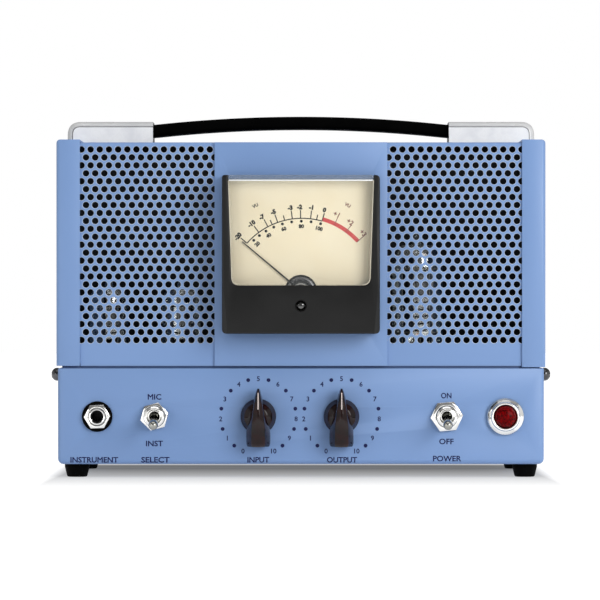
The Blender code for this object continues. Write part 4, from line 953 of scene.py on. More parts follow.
def halfRing(radius, thick, height):
    # An upright arch of round wire about the needle's pivot
    points = [(radius * math.cos(a), pivotHeight() + radius * math.sin(a), height)
              for a in [math.radians(d) for d in range(-8, 189, 14)]]
    return wire(points, thick)


def makeMovement():
    # The hub behind the needle: a dark drum with a grey ring and a bright bridge on it
    low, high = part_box("meter_movement")
    radius, tall = movement["radius"], movement["tall"]
    front = -low.y
    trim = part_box("meter_scale")[0].z
    hub = lathe(eased([(0, 0, 0), (radius, 0, 0), (radius, tall - movement["edge"], movement["sideEase"]),
                       (radius - movement["edge"], tall, movement["edgeEase"]), (0, tall, 0)]), 48)
    moved(hub, (0, pivotHeight(), front - movement["behind"]))
    drum = piece("movement_hub", hub, blackPlastic, turn=facing,
                 standsFor=("meter_movement",))
    arch = halfRing(movement["ring"], movement["ringWire"], front - movement["ringBack"])
    arch = piece("movement_ring", arch, hubGrey, turn=facing)
    for made in (drum, arch):
        # Nothing of them hangs below the card
        below = box((-20 * mm, trim - 30 * mm, front - 20 * mm), (20 * mm, trim, front + 5 * mm))
        cutWith(made, below, "trim")
    bridge = halfRing(movement["bridge"], movement["bridgeWire"], front - movement["bridgeBack"])
    piece("movement_bridge", bridge, chrome, turn=facing)
    jewel = lathe(eased([(0, movement["jewelTop"], 0),
                         (movement["jewelTop"], movement["jewelSide"], movement["jewelEase"]),
                         (movement["jewel"], 0, 0), (0, 0, 0)]), 24)
    piece("movement_jewel", jewel, chrome, (0, low.y + movement["jewelBack"], pivotHeight()),
          facing)


def makeNeedle():
    low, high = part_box("meter_needle")
    thick, tip = high.y - low.y, needle["tip"]
    angle = math.atan2(-low.x, high.z - pivotHeight())
    blade = bmesh.new()
    for height in (0, thick):
        for x, y in ((-needle["wide"] / 2, 0), (needle["wide"] / 2, 0),
                     (needle["thin"] / 2, tip), (-needle["thin"] / 2, tip)):
            blade.verts.new((x, y, height))
    bmesh.ops.convex_hull(blade, input=blade.verts)
    boss = lathe([(0, thick), (needle["boss"], thick), (needle["boss"], 0), (0, 0)], 32)
    shape = moved(together(blade, boss), turn=(0, 0, angle))
    piece("needle_blade", shape, scaleInk, (0, high.y, pivotHeight()), facing, "needle",
          ("meter_needle",), 30)


zeroScrew = {"ball": 1.15, "ends": 53, "step": 4, "deep": 2 * mm, "slotReach": 1.2, "slotHalf": 0.4 * mm,
             "slotDeep": 0.9 * mm}
screwBlack = makeFinish("screwBlack", {
    "colour": tone(4, 4, 4), "patch": 200, "roughness": 0.06, "swing": 0.02, "specular": 0.8, "coat": 1.0,
    "grain": 1500, "depth": 0.002 * mm})


def makeZeroScrew():
    low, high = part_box("meter_zero_screw")
    centre = ((low.x + high.x) / 2, low.y, (low.z + high.z) / 2)
    radius = (high.x - low.x) / 2
    ball, deep = radius * zeroScrew["ball"], zeroScrew["deep"]
    angles = [math.radians(d) for d in range(0, zeroScrew["ends"], zeroScrew["step"])]
    dome = [(ball * math.sin(a), ball * (math.cos(a) - 1)) for a in angles]
    head = lathe([*dome, (dome[-1][0], -deep), (0, -deep)], 36)
    made = piece("zero_screw_head", head, screwBlack, centre, facing, "zero_adjuster",
                 ("meter_zero_screw",))
    half, reach = zeroScrew["slotHalf"], radius * zeroScrew["slotReach"]
    cutWith(made, box((-reach, -half, -zeroScrew["slotDeep"]), (reach, half, 1 * mm)), "slot")


makeMeterShell()
makeMeterCover()
makeMeterScale()
makeMovement()
makeZeroScrew()
makeNeedle()
print("meter made")


# Handle: a grained strap between two pressed metal caps

strap = {"thick": 6.8 * mm, "halfWide": 12.5 * mm, "lowEase": 2.2 * mm, "topEase": 2.6 * mm, "parts": 64}
cap = {"ease": 3.2 * mm, "shoulder": 7.5 * mm, "inset": 3.1 * mm, "line": 0.5 * mm, "lineLift": 0.06 * mm,
       "faceLift": 0.3 * mm, "past": 4 * mm, "cut": 9 * mm, "mouth": 36 * mm, "mouthTall": 7.1 * mm,
       "mouthGap": 0.3 * mm, "rim": 0.05 * mm, "sunk": 0.3 * mm}
strapVinyl = makeFinish("strapVinyl", {
    "colour": tone(0, 0, 0), "second": tone(3, 3, 3), "patch": 90, "roughness": 0.6, "specular": 0.02,
    "grain": 900, "depth": 0.12 * mm, "strength": 0.5})
# The caps' chrome is painted as a nearly matt light grey: a painted reflection of the bright room
capChromePaintedSheen = makeFinish("capChromePaintedSheen", {
    "colour": tone(206, 206, 206), "second": tone(198, 199, 200), "patch": 70, "roughness": 0.3,
    "swing": 0.06, "metallic": 0.1, "specular": 0.3, "grain": 700, "depth": 0.02 * mm, "strength": 0.2})
# The flat fields are painted brighter than the rest of the cap: a painted highlight where they face the light
capFacePaintedLight = makeFinish("capFacePaintedLight", {
    "colour": tone(250, 250, 250), "second": tone(236, 236, 238), "patch": 110, "roughness": 0.3,
    "swing": 0.06, "metallic": 0.0, "specular": 0.4, "grain": 700, "depth": 0.02 * mm, "strength": 0.2})
# A grey strip round each cap's field: painted shade where a groove would lie
capGroovePaintedShade = makeFinish("capGroovePaintedShade", {
    "colour": tone(128, 128, 130), "second": tone(112, 112, 114), "patch": 200, "roughness": 0.4,
    "grain": 900, "depth": 0.01 * mm})


def skinned(shape, rings):
    # Joins rings of points into one closed skin
    for first, second in zip(rings, rings[1:]):
        for k in range(len(first)):
            j = (k + 1) % len(first)
            shape.faces.new((first[k], first[j], second[j], second[k]))
    shape.faces.new(rings[0])
    shape.faces.new(list(reversed(rings[-1])))
    bmesh.ops.recalc_face_normals(shape, faces=shape.faces)
    return shape


def makeStrap():
    low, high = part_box("handle_strap")
    thick, wide = strap["thick"], strap["halfWide"]
    rise = (high.z - low.z) - thick
    middleY = (low.y + high.y) / 2
    half = (high.x - low.x) / 2
    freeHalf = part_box("handle_cap_right")[0].x
    section = eased([(-wide, -thick / 2, strap["lowEase"]), (wide, -thick / 2, strap["lowEase"]),
                     (wide, thick / 2, strap["topEase"]), (-wide, thick / 2, strap["topEase"])], 5, True)
    shape = bmesh.new()
    rings = []
    for i in range(strap["parts"] + 1):
        x = -half + 2 * half * i / strap["parts"]
        share = min(1.0, abs(x) / freeHalf)
        z = low.z + thick / 2 + rise * (1 - share ** 2)
        slope = 0 if share >= 1 else -2 * rise * x / freeHalf ** 2
        lean = math.atan(slope)
        rings.append([shape.verts.new((x - h * math.sin(lean), middleY + w, z + h * math.cos(lean)))
                      for w, h in section])
    piece("strap", skinned(shape, rings), strapVinyl, standsFor=("handle_strap",), crease=60)


def makeCap(side, sign):
    name = f"handle_cap_{side}"
    low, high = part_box(name)
    strapLow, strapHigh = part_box("handle_strap")
    inner, outer = (high.x, low.x) if sign < 0 else (low.x, high.x)
    wide, middle, cut = high.y - low.y, (low.y + high.y) / 2, cap["cut"]
    past, under = inner - sign * cap["past"], low.z - cap["past"]
    outline = eased([(past, under, 0), (outer, under, 0), (outer, high.z, cap["shoulder"]),
                     (past, high.z, 0)], 8, True)
    shape = slab([outline], -wide / 2, wide / 2, cap["ease"], 5)
    made = piece(name + "_shell", shape, capChromePaintedSheen, (0, middle, 0), facing,
                 standsFor=(name,), crease=50)
    cutWith(made, box((low.x - cut, low.z - cut, -wide), (high.x + cut, low.z, wide)), "below")
    first, last = sorted((inner - sign * cut, inner))
    cutWith(made, box((first, low.z - cut, -wide), (last, high.z + cut, wide)), "inner_end")
    first, last = sorted((inner - sign * cut, inner + sign * cap["mouth"]))
    half, bottom = (strapHigh.y - strapLow.y) / 2 + cap["mouthGap"], strapLow.z - cap["mouthGap"]
    cutWith(made, box((first, bottom, -half), (last, strapLow.z + cap["mouthTall"], half)), "mouth")
    makeCapFaces(name, sign, inner, outer, (low.z, high.z), (low.y, high.y))


def makeCapFaces(name, sign, inner, outer, heights, depths):
    # The raised flat field on a cap's front and rear, with a grey strip round it that paints the shade of a
    # groove
    lines, fields = [], []
    start, bottom = inner - sign * cap["rim"], heights[0] + cap["rim"]
    for inset, shapes, lift in ((cap["inset"] - cap["line"], lines, cap["lineLift"]),
                                (cap["inset"], fields, cap["faceLift"])):
        end, top = outer - sign * inset, heights[1] - inset
        outline = eased([(start, bottom, 0), (end, bottom, 0), (end, top, cap["shoulder"] - inset),
                         (start, top, 0)], 8, True)
        for height in (-depths[0], -depths[1]):
            outward = 1 if height > 0 else -1
            under, over = sorted((height - outward * cap["sunk"], height + outward * lift))
            shapes.append(slab([outline], under, over, 0.0))
    piece(name + "_groove_shade", together(*lines), capGroovePaintedShade, turn=facing)
    piece(name + "_field", together(*fields), capFacePaintedLight, turn=facing)


makeStrap()
makeCap("left", -1)
makeCap("right", 1)
print("handle made")


# Knobs on their shafts

knob = {"skirt": 9.7 * mm, "skirtEdge": 1.0 * mm, "hub": 7.6 * mm, "hubTop": 5.0 * mm, "hubLow": 6.4 * mm,
        "hubHigh": 8.4 * mm, "top": 9.0 * mm, "hollow": 7 * mm, "hollowDeep": 0.5 * mm, "topEase": 2 * mm,
        "hubEase": 0.8 * mm, "edgeEase": 0.6 * mm, "footEase": 0.2 * mm, "ease": 0.22 * mm,
        "sharpest": math.radians(12)}
# What follows for the pointer is in mm
pointer = {"base": 3.0, "crest": 0.55, "line": 0.28, "lift": 0.03, "sunk": 0.2}
# Along the pointer: place, half width at the base, half width of the shoulder, height
pointerStations = [(-16.4, 5.2, 2.9, 12.4), (-16.1, 6.1, 3.4, 13.4), (-14.6, 6.6, 3.65, 14.8),
                   (-11.0, 6.65, 3.7, 16.0), (-6.0, 6.4, 3.6, 16.8), (-1.0, 5.2, 3.1, 17.0),
                   (4.0, 3.7, 2.5, 16.8), (8.0, 2.7, 1.9, 16.2), (11.5, 1.9, 1.35, 15.2),
                   (14.0, 1.2, 0.9, 14.0), (15.4, 0.55, 0.45, 12.8)]
# Along its white line: place and height
lineStations = [(4.2, 16.78), (8.0, 16.2), (11.5, 15.2), (13.2, 14.4)]
maroon = makeFinish("maroonBakelite", {
    "colour": tone(6, 0, 0), "second": tone(34, 1, 1), "patch": 240, "roughness": 0.14, "swing": 0.03,
    "specular": 0.25, "grain": 1400, "depth": 0.01 * mm, "strength": 0.2})
# A pale strip along the crest of the pointer's nose
pointerPale = makeFinish("pointerPale", {
    "colour": tone(214, 200, 196), "patch": 300, "roughness": 0.4, "grain": 3000, "depth": 0.004 * mm})


def pointerShape():
    shape = bmesh.new()
    rings = []
    base = pointer["base"]
    for y, wide, shoulder, tall in pointerStations:
        drop = min(1.3, tall * 0.1)
        crest = min(pointer["crest"], shoulder * 0.5)
        section = [(-wide, base), (-wide * 0.96, base + 3), (-shoulder, tall - drop), (-crest, tall),
                   (crest, tall), (shoulder, tall - drop), (wide * 0.96, base + 3), (wide, base)]
        rings.append([shape.verts.new((x * mm, y * mm, z * mm)) for x, z in section])
    skinned(shape, rings)
    sharp = [e for e in shape.edges if e.calc_face_angle(0) > knob["sharpest"]]
    bmesh.ops.bevel(shape, geom=sharp, offset=knob["ease"], segments=2, profile=0.5, affect="EDGES",
                    clamp_overlap=True)
    return shape


def makeKnob(side):
    low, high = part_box(f"{side}_knob")
    x, z = controlCentre(f"{side}_shaft")
    lift = high.y
    skirt = lathe(eased([(0, knob["top"], 0), (knob["hubTop"], knob["hubHigh"], knob["topEase"]),
                         (knob["hub"], knob["hubLow"], knob["hubEase"]),
                         (knob["skirt"], knob["skirtEdge"], knob["edgeEase"]),
                         (knob["skirt"], 0, knob["footEase"]), (knob["hollow"], 0, 0),
                         (0, knob["hollowDeep"], 0)], 6), 64)
    piece(f"{side}_knob_body", together(skirt, pointerShape()), maroon,
          (x, lift, z), facing, f"{side}_control", (f"{side}_knob",), 30)
    line = bmesh.new()
    half, over, under = pointer["line"] * mm, pointer["lift"], -pointer["sunk"]
    rows = [[line.verts.new((px, y * mm, (tall + lifted) * mm))
             for px, lifted in ((-half, over), (half, over), (half, under), (-half, under))]
            for y, tall in lineStations]
    piece(f"{side}_pointer_line", skinned(line, rows), pointerPale, (x, lift, z), facing,
          f"{side}_control")
    dress(f"{side}_shaft", zincPlate)
    dress(f"{side}_pot", zincPlate, 0.2 * mm)


makeKnob("input")
makeKnob("output")
print("knobs made")


# Toggles, jack and pilot lamp

nutEase = 0.15 * mm
panelBack = -1.8 * mm
toggle = {"select": (13.6 * mm, math.radians(15)), "power": (15.4 * mm, math.radians(5)), "bore": 5.75 * mm,
          "bushing": 5.6 * mm, "hollow": 3.5 * mm, "hollowDeep": 6 * mm, "edge": 0.9 * mm, "pitch": 0.75 * mm,
          "halfWide": 8.5 * mm, "halfTall": 14.5 * mm, "bodyEase": 0.6 * mm, "lugs": 7 * mm,
          "lugWide": 2 * mm, "lugThick": 0.4 * mm, "lugStep": 9 * mm, "lugSunk": 7.5 * mm,
          "lugEase": 0.15 * mm}
# The bushing's rounded mouth: radius, depth under its face; in mm
bushingMouth = [(3.5, 0.7), (3.9, 0.1), (4.3, 0), (4.7, 0.1)]
bat = {"tilt": math.radians(13), "length": 21.0 * mm, "tip": 2.6 * mm, "tipShare": 0.97, "shoulder": 2.5 * mm,
       "neck": 1.7 * mm, "neckTop": 7.5 * mm, "neckFoot": 5.2 * mm, "flare": 0.25 * mm, "ball": 2.9 * mm,
       "ballShare": 0.9}
batMetal = makeFinish("batMetal", {
    "colour": tone(158, 158, 152), "second": tone(140, 140, 134), "patch": 120, "roughness": 0.14,
    "metallic": 1.0, "grain": 2500, "depth": 0.004 * mm})


def makeToggle(side):
    flats, start = toggle[side]
    x, z = controlCentre(f"{side}_nut")
    nutLow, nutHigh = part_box(f"{side}_nut")
    thick = nutHigh.y - nutLow.y
    nut = hexagon(flats, toggle["bore"], 0, thick, start, nutEase)
    made = piece(f"{side}_hex_nut", nut, chrome, (x, nutHigh.y, z), facing,
                 standsFor=(f"{side}_nut",), crease=30)
    cutWith(made, chamferTool(flats, thick), "chamfer")
    low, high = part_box(f"{side}_switch")
    face, back = frontY - low.y, frontY - high.y
    radius, deep = toggle["bushing"], face - toggle["hollowDeep"]
    grooves = thread(radius, 0.2 * mm, face - toggle["edge"], toggle["pitch"])
    mouth = [(r * mm, face - depth * mm) for r, depth in bushingMouth]
    bushing = lathe([(0, deep), (toggle["hollow"], deep), *mouth, (radius, face - toggle["edge"]),
                     *reversed(grooves), (radius, panelBack), (0, panelBack)], 48)
    body = box((-toggle["halfWide"], -toggle["halfTall"], back + toggle["lugs"]),
               (toggle["halfWide"], toggle["halfTall"], panelBack), toggle["bodyEase"])
    wide, lug = toggle["lugWide"], toggle["lugThick"]
    lugs = [box((-wide, row * toggle["lugStep"] - lug, back),
                (wide, row * toggle["lugStep"] + lug, back + toggle["lugSunk"]), toggle["lugEase"])
            for row in (-1, 0, 1)]
    piece(f"{side}_switch_bushing", together(bushing, *lugs), chrome, (x, frontY, z), facing,
          standsFor=(f"{side}_switch",), crease=30)
    piece(f"{side}_switch_body", body, blackPlastic, (x, frontY, z), facing)
    makeLever(side)


def ballOutline(radius, height, first, last, step):
    # Part of a ball's outline, by degrees from its top
    angles = [math.radians(a) for a in range(first, last, step)]
    return [(radius * math.sin(a), height + radius * math.cos(a)) for a in angles]


def makeLever(side):
    joint = next(j for j in frame["joints"] if j["name"] == f"{side}_flip")
    tip, neck, ball = bat["tip"], bat["neck"], bat["ball"]
    top = bat["length"] - tip
    profile = [*ballOutline(tip, top, 0, 91, 15), (tip * bat["tipShare"], top - bat["shoulder"]),
               (neck + bat["flare"], bat["neckTop"]), (neck, bat["neckFoot"]),
               (neck, ball * bat["ballShare"]),
               *ballOutline(ball, 0, 40, 181, 20)]
    piece(f"{side}_bat", lathe(profile, 32), batMetal, joint["pos_m"],
          (quarter + bat["tilt"], 0, 0), f"{side}_toggle", (f"{side}_lever",), 40)


jack = {"washerBore": 5 * mm, "washerEase": 0.2 * mm, "washerEdge": 0.5 * mm, "flats": 12.5 * mm,
        "bore": 4.9 * mm, "start": math.radians(2), "inside": 3.25 * mm, "long": 22 * mm, "root": 4.4 * mm,
        "thread": 4.7 * mm, "pitch": 0.7 * mm, "threadBack": -1.5 * mm, "threadFront": 0.6 * mm,
        "shell": 8.5 * mm, "shellBore": 4.6 * mm, "shellEase": 0.8 * mm, "lining": 3.2 * mm,
        "liningBore": 2.9 * mm, "liningFront": 3 * mm}
# The sleeve's rounded mouth: radius, depth under its face; in mm
sleeveMouth = [(3.25, 0.6), (3.6, 0.1), (3.9, 0), (4.3, 0.1), (4.6, 0.5)]


def makeJack():
    x, z = controlCentre("jack_washer")
    washerLow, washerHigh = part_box("jack_washer")
    nutLow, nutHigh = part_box("jack_nut")
    jackLow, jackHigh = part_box("instrument_jack")
    radius, bore = (washerHigh.x - washerLow.x) / 2, jack["washerBore"]
    thick = washerHigh.y - washerLow.y
    washer = lathe(eased([(bore, 0, 0), (bore, thick, jack["washerEase"]),
                          (radius, thick, jack["washerEdge"]), (radius, 0, 0)], 3, True), 64, True)
    piece("jack_washer_ring", washer, blackRubber, (x, washerHigh.y, z), facing,
          standsFor=("jack_washer",))
    thick = nutHigh.y - nutLow.y
    nut = hexagon(jack["flats"], jack["bore"], 0, thick, jack["start"], nutEase)
    made = piece("jack_hex_nut", nut, chrome, (x, nutHigh.y, z), facing,
                 standsFor=("jack_nut",), crease=30)
    cutWith(made, chamferTool(jack["flats"], thick), "chamfer")
    face, back = frontY - jackLow.y, frontY - jackHigh.y
    end = face - jack["long"]
    mouth = [(r * mm, face - depth * mm) for r, depth in sleeveMouth]
    grooves = thread(jack["thread"], jack["threadBack"], face - jack["threadFront"], jack["pitch"])
    sleeve = lathe([(jack["inside"], end), *mouth, *reversed(grooves), (jack["root"], end)], 40, True)
    piece("jack_sleeve", sleeve, chrome, (x, frontY, z), facing,
          standsFor=("instrument_jack",), crease=30)
    inside, outside, ease = jack["shellBore"], jack["shell"], jack["shellEase"]
    shell = lathe(eased([(inside, back, 0), (inside, panelBack, 0), (outside, panelBack, ease),
                         (outside, back, ease)], 3, True), 40, True)
    radius, bore, top = jack["lining"], jack["liningBore"], face - jack["liningFront"]
    lining = lathe([(0, back), (radius, back), (radius, top), (bore, top), (bore, back + 1 * mm),
                    (0, back + 1 * mm)], 32)
    piece("jack_body", together(shell, lining), blackPlastic, (x, frontY, z), facing)


# The lamp's bezel: radius, height over the panel, ease; in mm
bezelProfile = [(6.1, -24, 0), (6.1, 3.6, 0.3), (6.5, 4.6, 0.4), (7.6, 4.6, 0.5), (8.0, 3.7, 0.3),
                (8.8, 3.3, 0.7), (10.15, 1.9, 0.9), (10.15, 0.3, 0), (7.9, 0.3, 0), (7.9, -24, 0)]
# The lamp's jewel: radius and height of each ring of facets, and its peak; in mm
jewelLevels = [(5.9, -0.4), (5.9, 4.6), (5.2, 6.3), (3.9, 7.6), (2.0, 8.3)]
jewelPeak = 8.5
jewelFacets = 14
ruby = makeGlow(makeFinish("rubyGlass", {
    "colour": tone(128, 2, 5), "second": tone(34, 0, 1), "patch": 1100, "roughness": 0.3, "swing": 0.05,
    "specular": 0.05, "grain": 900, "depth": 0.01 * mm}), tone(120, 2, 5), 0.05)
lampGlass = makeFinish("lampGlass", {
    "colour": tone(240, 200, 140), "patch": 200, "roughness": 0.15, "grain": 1000, "depth": 0.01 * mm})


def makePilot():
    x, z = controlCentre("pilot_bezel")
    bezel = lathe(eased([(r * mm, height * mm, ease * mm) for r, height, ease in bezelProfile], 4, True),
                  72, True)
    piece("pilot_ring", bezel, chrome, (x, frontY, z), facing, standsFor=("pilot_bezel",))
    jewel = bmesh.new()
    count = jewelFacets
    rings = []
    for level, (radius, height) in enumerate(jewelLevels):
        turnBy = level * 2 * quarter / count
        rings.append([jewel.verts.new((px, py, height * mm))
                      for px, py in ring(radius * mm, count, start=turnBy)])
    for first, second in zip(rings, rings[1:]):
        for k in range(count):
            j = (k + 1) % count
            jewel.faces.new((first[k], first[j], second[k]))
            jewel.faces.new((first[j], second[j], second[k]))
    peak = jewel.verts.new((0, 0, jewelPeak * mm))
    for k in range(count):
        jewel.faces.new((rings[-1][k], rings[-1][(k + 1) % count], peak))
    jewel.faces.new(list(reversed(rings[0])))
    bmesh.ops.recalc_face_normals(jewel, faces=jewel.faces)
    piece("pilot_lens", jewel, ruby, (x, frontY, z), facing, standsFor=("pilot_jewel",),
          crease=5)
    dress("pilot_bulb", lampGlass)


makeToggle("select")
makeToggle("power")
makeJack()
makePilot()
print("controls made")


# Tubes and what stands on the deck

tubeGlass = makeGlass("tubeGlass", {
    "colour": tone(235, 240, 240), "second": tone(225, 232, 232), "patch": 60, "roughness": 0.03,
    "swing": 0.01, "metallic": 1.0, "grain": 400, "depth": 0.002 * mm, "edgeBlend": 0.35,
    "clearest": 0.14, "densest": 0.85})
getter = makeFinish("getterFlash", {
    "colour": tone(206, 208, 210), "second": tone(120, 118, 116), "patch": 160, "roughness": 0.12,
    "metallic": 1.0, "grain": 600, "depth": 0.01 * mm})
plateGrey = makeFinish("plateGrey", {
    "colour": tone(92, 93, 96), "second": tone(70, 71, 74), "patch": 220, "roughness": 0.45, "swing": 0.08,
    "metallic": 0.8, "grain": 1200, "depth": 0.02 * mm})
mica = makeFinish("mica", {
    "colour": tone(205, 196, 176), "second": tone(182, 172, 150), "patch": 300, "roughness": 0.3,
    "grain": 1500, "depth": 0.01 * mm})
ceramic = makeFinish("ceramic", {
    "colour": tone(228, 224, 214), "second": tone(218, 213, 202), "patch": 100, "roughness": 0.35,
    "grain": 900, "depth": 0.015 * mm})
phenolic = makeFinish("phenolic", {
    "colour": tone(28, 22, 18), "second": tone(36, 28, 22), "patch": 180, "roughness": 0.35,
    "grain": 1400, "depth": 0.012 * mm})
heater = makeGlow(makeFinish("heaterGlow", {
    "colour": tone(220, 120, 60), "patch": 300, "roughness": 0.5, "grain": 800, "depth": 0.01 * mm}),
    tone(255, 140, 60), 0.15)


valve = {"wall": 0.9 * mm, "base": 9.0 * mm, "foot": 8 * mm, "head": 1.45, "mica": 0.84,
         "micaThick": 0.5 * mm, "gap": 1.5 * mm, "single": 0.46, "double": 0.3, "plateDeep": 0.42,
         "plateEase": 0.12, "fin": 0.4 * mm, "finReach": 0.12, "finEase": 0.1 * mm, "rods": 6,
         "rod": 0.35 * mm, "rodCircle": 0.62, "rodStart": 0.3, "rodFoot": 1 * mm}
# The flash of getter under the dome: radius and depth from the top, as shares of the tube's radius
getterFlash = [(0.25, 0.56), (0.6, 0.62), (0.86, 0.85), (0.9, 1.25), (0.86, 1.25), (0.82, 0.88),
               (0.56, 0.68), (0.25, 0.62)]
# The heater's glow: radius, and height over the lower mica; in mm
heaterGlow = [(0, 0.4), (0.8, 0), (0.8, -1.6), (0, -1.8)]


def makeEnvelope(side, centre, radius, tall, base):
    wall = valve["wall"]
    outer = eased([(0, tall, 0), (radius * 0.16, tall - radius * 0.12, 0.3 * mm),
                   (radius * 0.24, tall - radius * 0.42, 0.6 * mm),
                   (radius * 0.78, tall - radius * 0.56, radius * 0.3),
                   (radius, tall - radius, radius * 0.4), (radius, base + 1.5 * mm, 1.2 * mm),
                   (radius * 0.8, base, 0.5 * mm), (0, base, 0)], 6)
    inner = eased([(0, base + wall, 0), (radius * 0.76, base + wall, 0.5 * mm),
                   (radius - wall, base + 2.2 * mm, 1 * mm), (radius - wall, tall - radius, radius * 0.4),
                   (radius * 0.72, tall - radius * 0.62, radius * 0.3), (0, tall - radius * 0.56, 0)], 6)
    shell = together(lathe(outer, 56), lathe(list(reversed(inner)), 56))
    piece(f"{side}_envelope", shell, tubeGlass, centre, standsFor=(f"{side}_tube",), crease=60)
    flash = lathe([(radius * across, tall - radius * down) for across, down in getterFlash], 48, True)
    piece(f"{side}_getter", flash, getter, centre)


def makeTube(side, plates):
    low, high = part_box(f"{side}_tube")
    centre = ((low.x + high.x) / 2, (low.y + high.y) / 2, low.z)
    radius, tall = (high.x - low.x) / 2, high.z - low.z
    base = valve["base"] if side == "right" else 0.0
    makeEnvelope(side, centre, radius, tall, base)
    bottom, head = base + valve["foot"], tall - radius * valve["head"]
    wide, thick, gap = radius * valve["mica"], valve["micaThick"], valve["gap"]
    discs = [lathe(eased([(0, h, 0), (wide, h, 0), (wide, h - thick, 0), (0, h - thick, 0)]), 32)
             for h in (bottom, head)]
    piece(f"{side}_micas", together(*discs), mica, centre)
    electrodes = []
    half = radius * (valve["double"] if len(plates) > 1 else valve["single"])
    deep, fin, reach = radius * valve["plateDeep"], valve["fin"], radius * valve["finReach"]
    for offset in plates:
        x = offset * radius
        electrodes.append(box((x - half, -deep, bottom + gap), (x + half, deep, head - gap),
                              radius * valve["plateEase"], 3))
        electrodes.append(box((x - half - reach, -fin, bottom + gap), (x + half + reach, fin, head - gap),
                              valve["finEase"]))
    piece(f"{side}_plates", together(*electrodes), plateGrey, centre)
    rod, rodFoot = valve["rod"], base + valve["rodFoot"]
    rods = [moved(lathe([(0, head + gap), (rod, head + gap), (rod, rodFoot), (0, rodFoot)], 8), (*place, 0))
            for place in ring(radius * valve["rodCircle"], valve["rods"], start=valve["rodStart"])]
    piece(f"{side}_supports", together(*rods), zincPlate, centre)
    glow = [moved(lathe([(r * mm, bottom + h * mm) for r, h in heaterGlow], 10), (offset * radius, 0, 0))
            for offset in plates]
    piece(f"{side}_heater", together(*glow), heater, centre)
    if base:
        wide, rim, seat = radius * 0.93, base + 2 * mm, base - 1 * mm
        cup = lathe(eased([(0, 0.2 * mm, 0), (radius, 0.2 * mm, 0.6 * mm), (radius, rim, 0.5 * mm),
                           (wide, rim, 0), (wide, seat, 0), (0, seat, 0)]), 56)
        piece(f"{side}_base", cup, phenolic, centre)


socket = {"neck": 2.2 * mm, "neckEase": 0.8 * mm, "flange": 0.3 * mm, "flangeEase": 0.2 * mm,
          "flangeTop": 1.2 * mm, "topEase": 0.6 * mm, "crown": 0.85, "crownEase": 0.5 * mm}


def makeSocket(side, finish):
    low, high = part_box(f"{side}_socket")
    centre = ((low.x + high.x) / 2, (low.y + high.y) / 2, 0)
    wide = (high.x - low.x) / 2
    neck = wide - socket["neck"]
    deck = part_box("deck_plate")[1].z
    shape = lathe(eased([(0, low.z, 0), (neck, low.z, socket["neckEase"]), (neck, deck + socket["flange"], 0),
                         (wide, deck + socket["flange"], socket["flangeEase"]),
                         (wide, deck + socket["flangeTop"], socket["topEase"]),
                         (wide * socket["crown"], high.z, socket["crownEase"]), (0, high.z, 0)]), 48)
    piece(f"{side}_socket_body", shape, finish, centre, standsFor=(f"{side}_socket",))


transformer = {"bell": 12 * mm, "bellOver": 6 * mm, "bellInset": 7 * mm, "bellEase": 5 * mm, "sheets": 24,
               "sheetShare": 0.82, "sheetEase": 0.1 * mm}


def makeTransformer():
    low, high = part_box("power_transformer")
    bell, inset, count = transformer["bell"], transformer["bellInset"], transformer["sheets"]
    tall = high.z - low.z
    sheets = [box((low.x + bell, low.y, low.z + k * tall / count),
                  (high.x - bell, high.y, low.z + (k + transformer["sheetShare"]) * tall / count),
                  transformer["sheetEase"]) for k in range(count)]
    piece("transformer_core", together(*sheets), zincPlate, standsFor=("power_transformer",))
    over = bell + transformer["bellOver"]
    bells = [box((x0, low.y + inset, low.z + inset), (x1, high.y - inset, high.z - inset),
                 transformer["bellEase"], 5) for x0, x1 in ((low.x, low.x + over), (high.x - over, high.x))]
    piece("transformer_bells", together(*bells), blackPaintAndPaintedShade, crease=60)


# The can: how far in from its radius, height over its foot and ease; in mm
canSide = [(0, 7, 0.6), (0.8, 6, 0.6), (0, 5, 0.6), (0, 0, 0)]


def makeCapacitor():
    low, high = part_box("filter_capacitor")
    radius, tall = (high.x - low.x) / 2, high.z - low.z
    sunk = tall - 1.2 * mm
    can = lathe(eased([(0, sunk, 0), (radius - 1.6 * mm, sunk, 0.6 * mm), (radius - 1.1 * mm, tall, 0.5 * mm),
                       (radius, tall, 1.0 * mm),
                       *[(radius - inward * mm, height * mm, ease * mm) for inward, height, ease in canSide],
                       (0, 0, 0)]), 56)
    piece("capacitor_can", can, zincPlate,
          ((low.x + high.x) / 2, (low.y + high.y) / 2, low.z), standsFor=("filter_capacitor",))


makeTube("left", (-0.36, 0.36))
makeTube("middle", (-0.36, 0.36))
makeTube("right", (0.0,))
makeSocket("left", ceramic)
makeSocket("middle", ceramic)
makeSocket("right", phenolic)
makeTransformer()
makeCapacitor()
for name in ("input_transformer", "output_transformer"):
    dress(name, zincPlate, 0.6 * mm)
dress("circuit_board", makeFinish("boardGreen", {
    "colour": tone(24, 78, 46), "second": tone(30, 88, 52), "patch": 60, "roughness": 0.4,
    "grain": 900, "depth": 0.01 * mm}), 0.2 * mm)
print("works made")


# Sockets on the rear panel

# Heights are over the rear panel
rear = {"plateLow": 0.3 * mm, "plateTop": 2.3 * mm, "face": 2.0 * mm, "end": -19 * mm, "bore": 9.6 * mm,
        "outside": 11.2 * mm, "pinCircle": 3.35 * mm, "screwX": 9.5 * mm, "screwY": 12 * mm,
        "halfWide": 13 * mm, "halfTall": 15.5 * mm, "corner": 3 * mm, "ease": 0.5 * mm}
smallHead = {"radius": 2.6 * mm, "dome": 1.0 * mm, "side": 0.2 * mm, "share": 0.7, "domeEase": 0.3 * mm,
             "sideEase": 0.2 * mm}


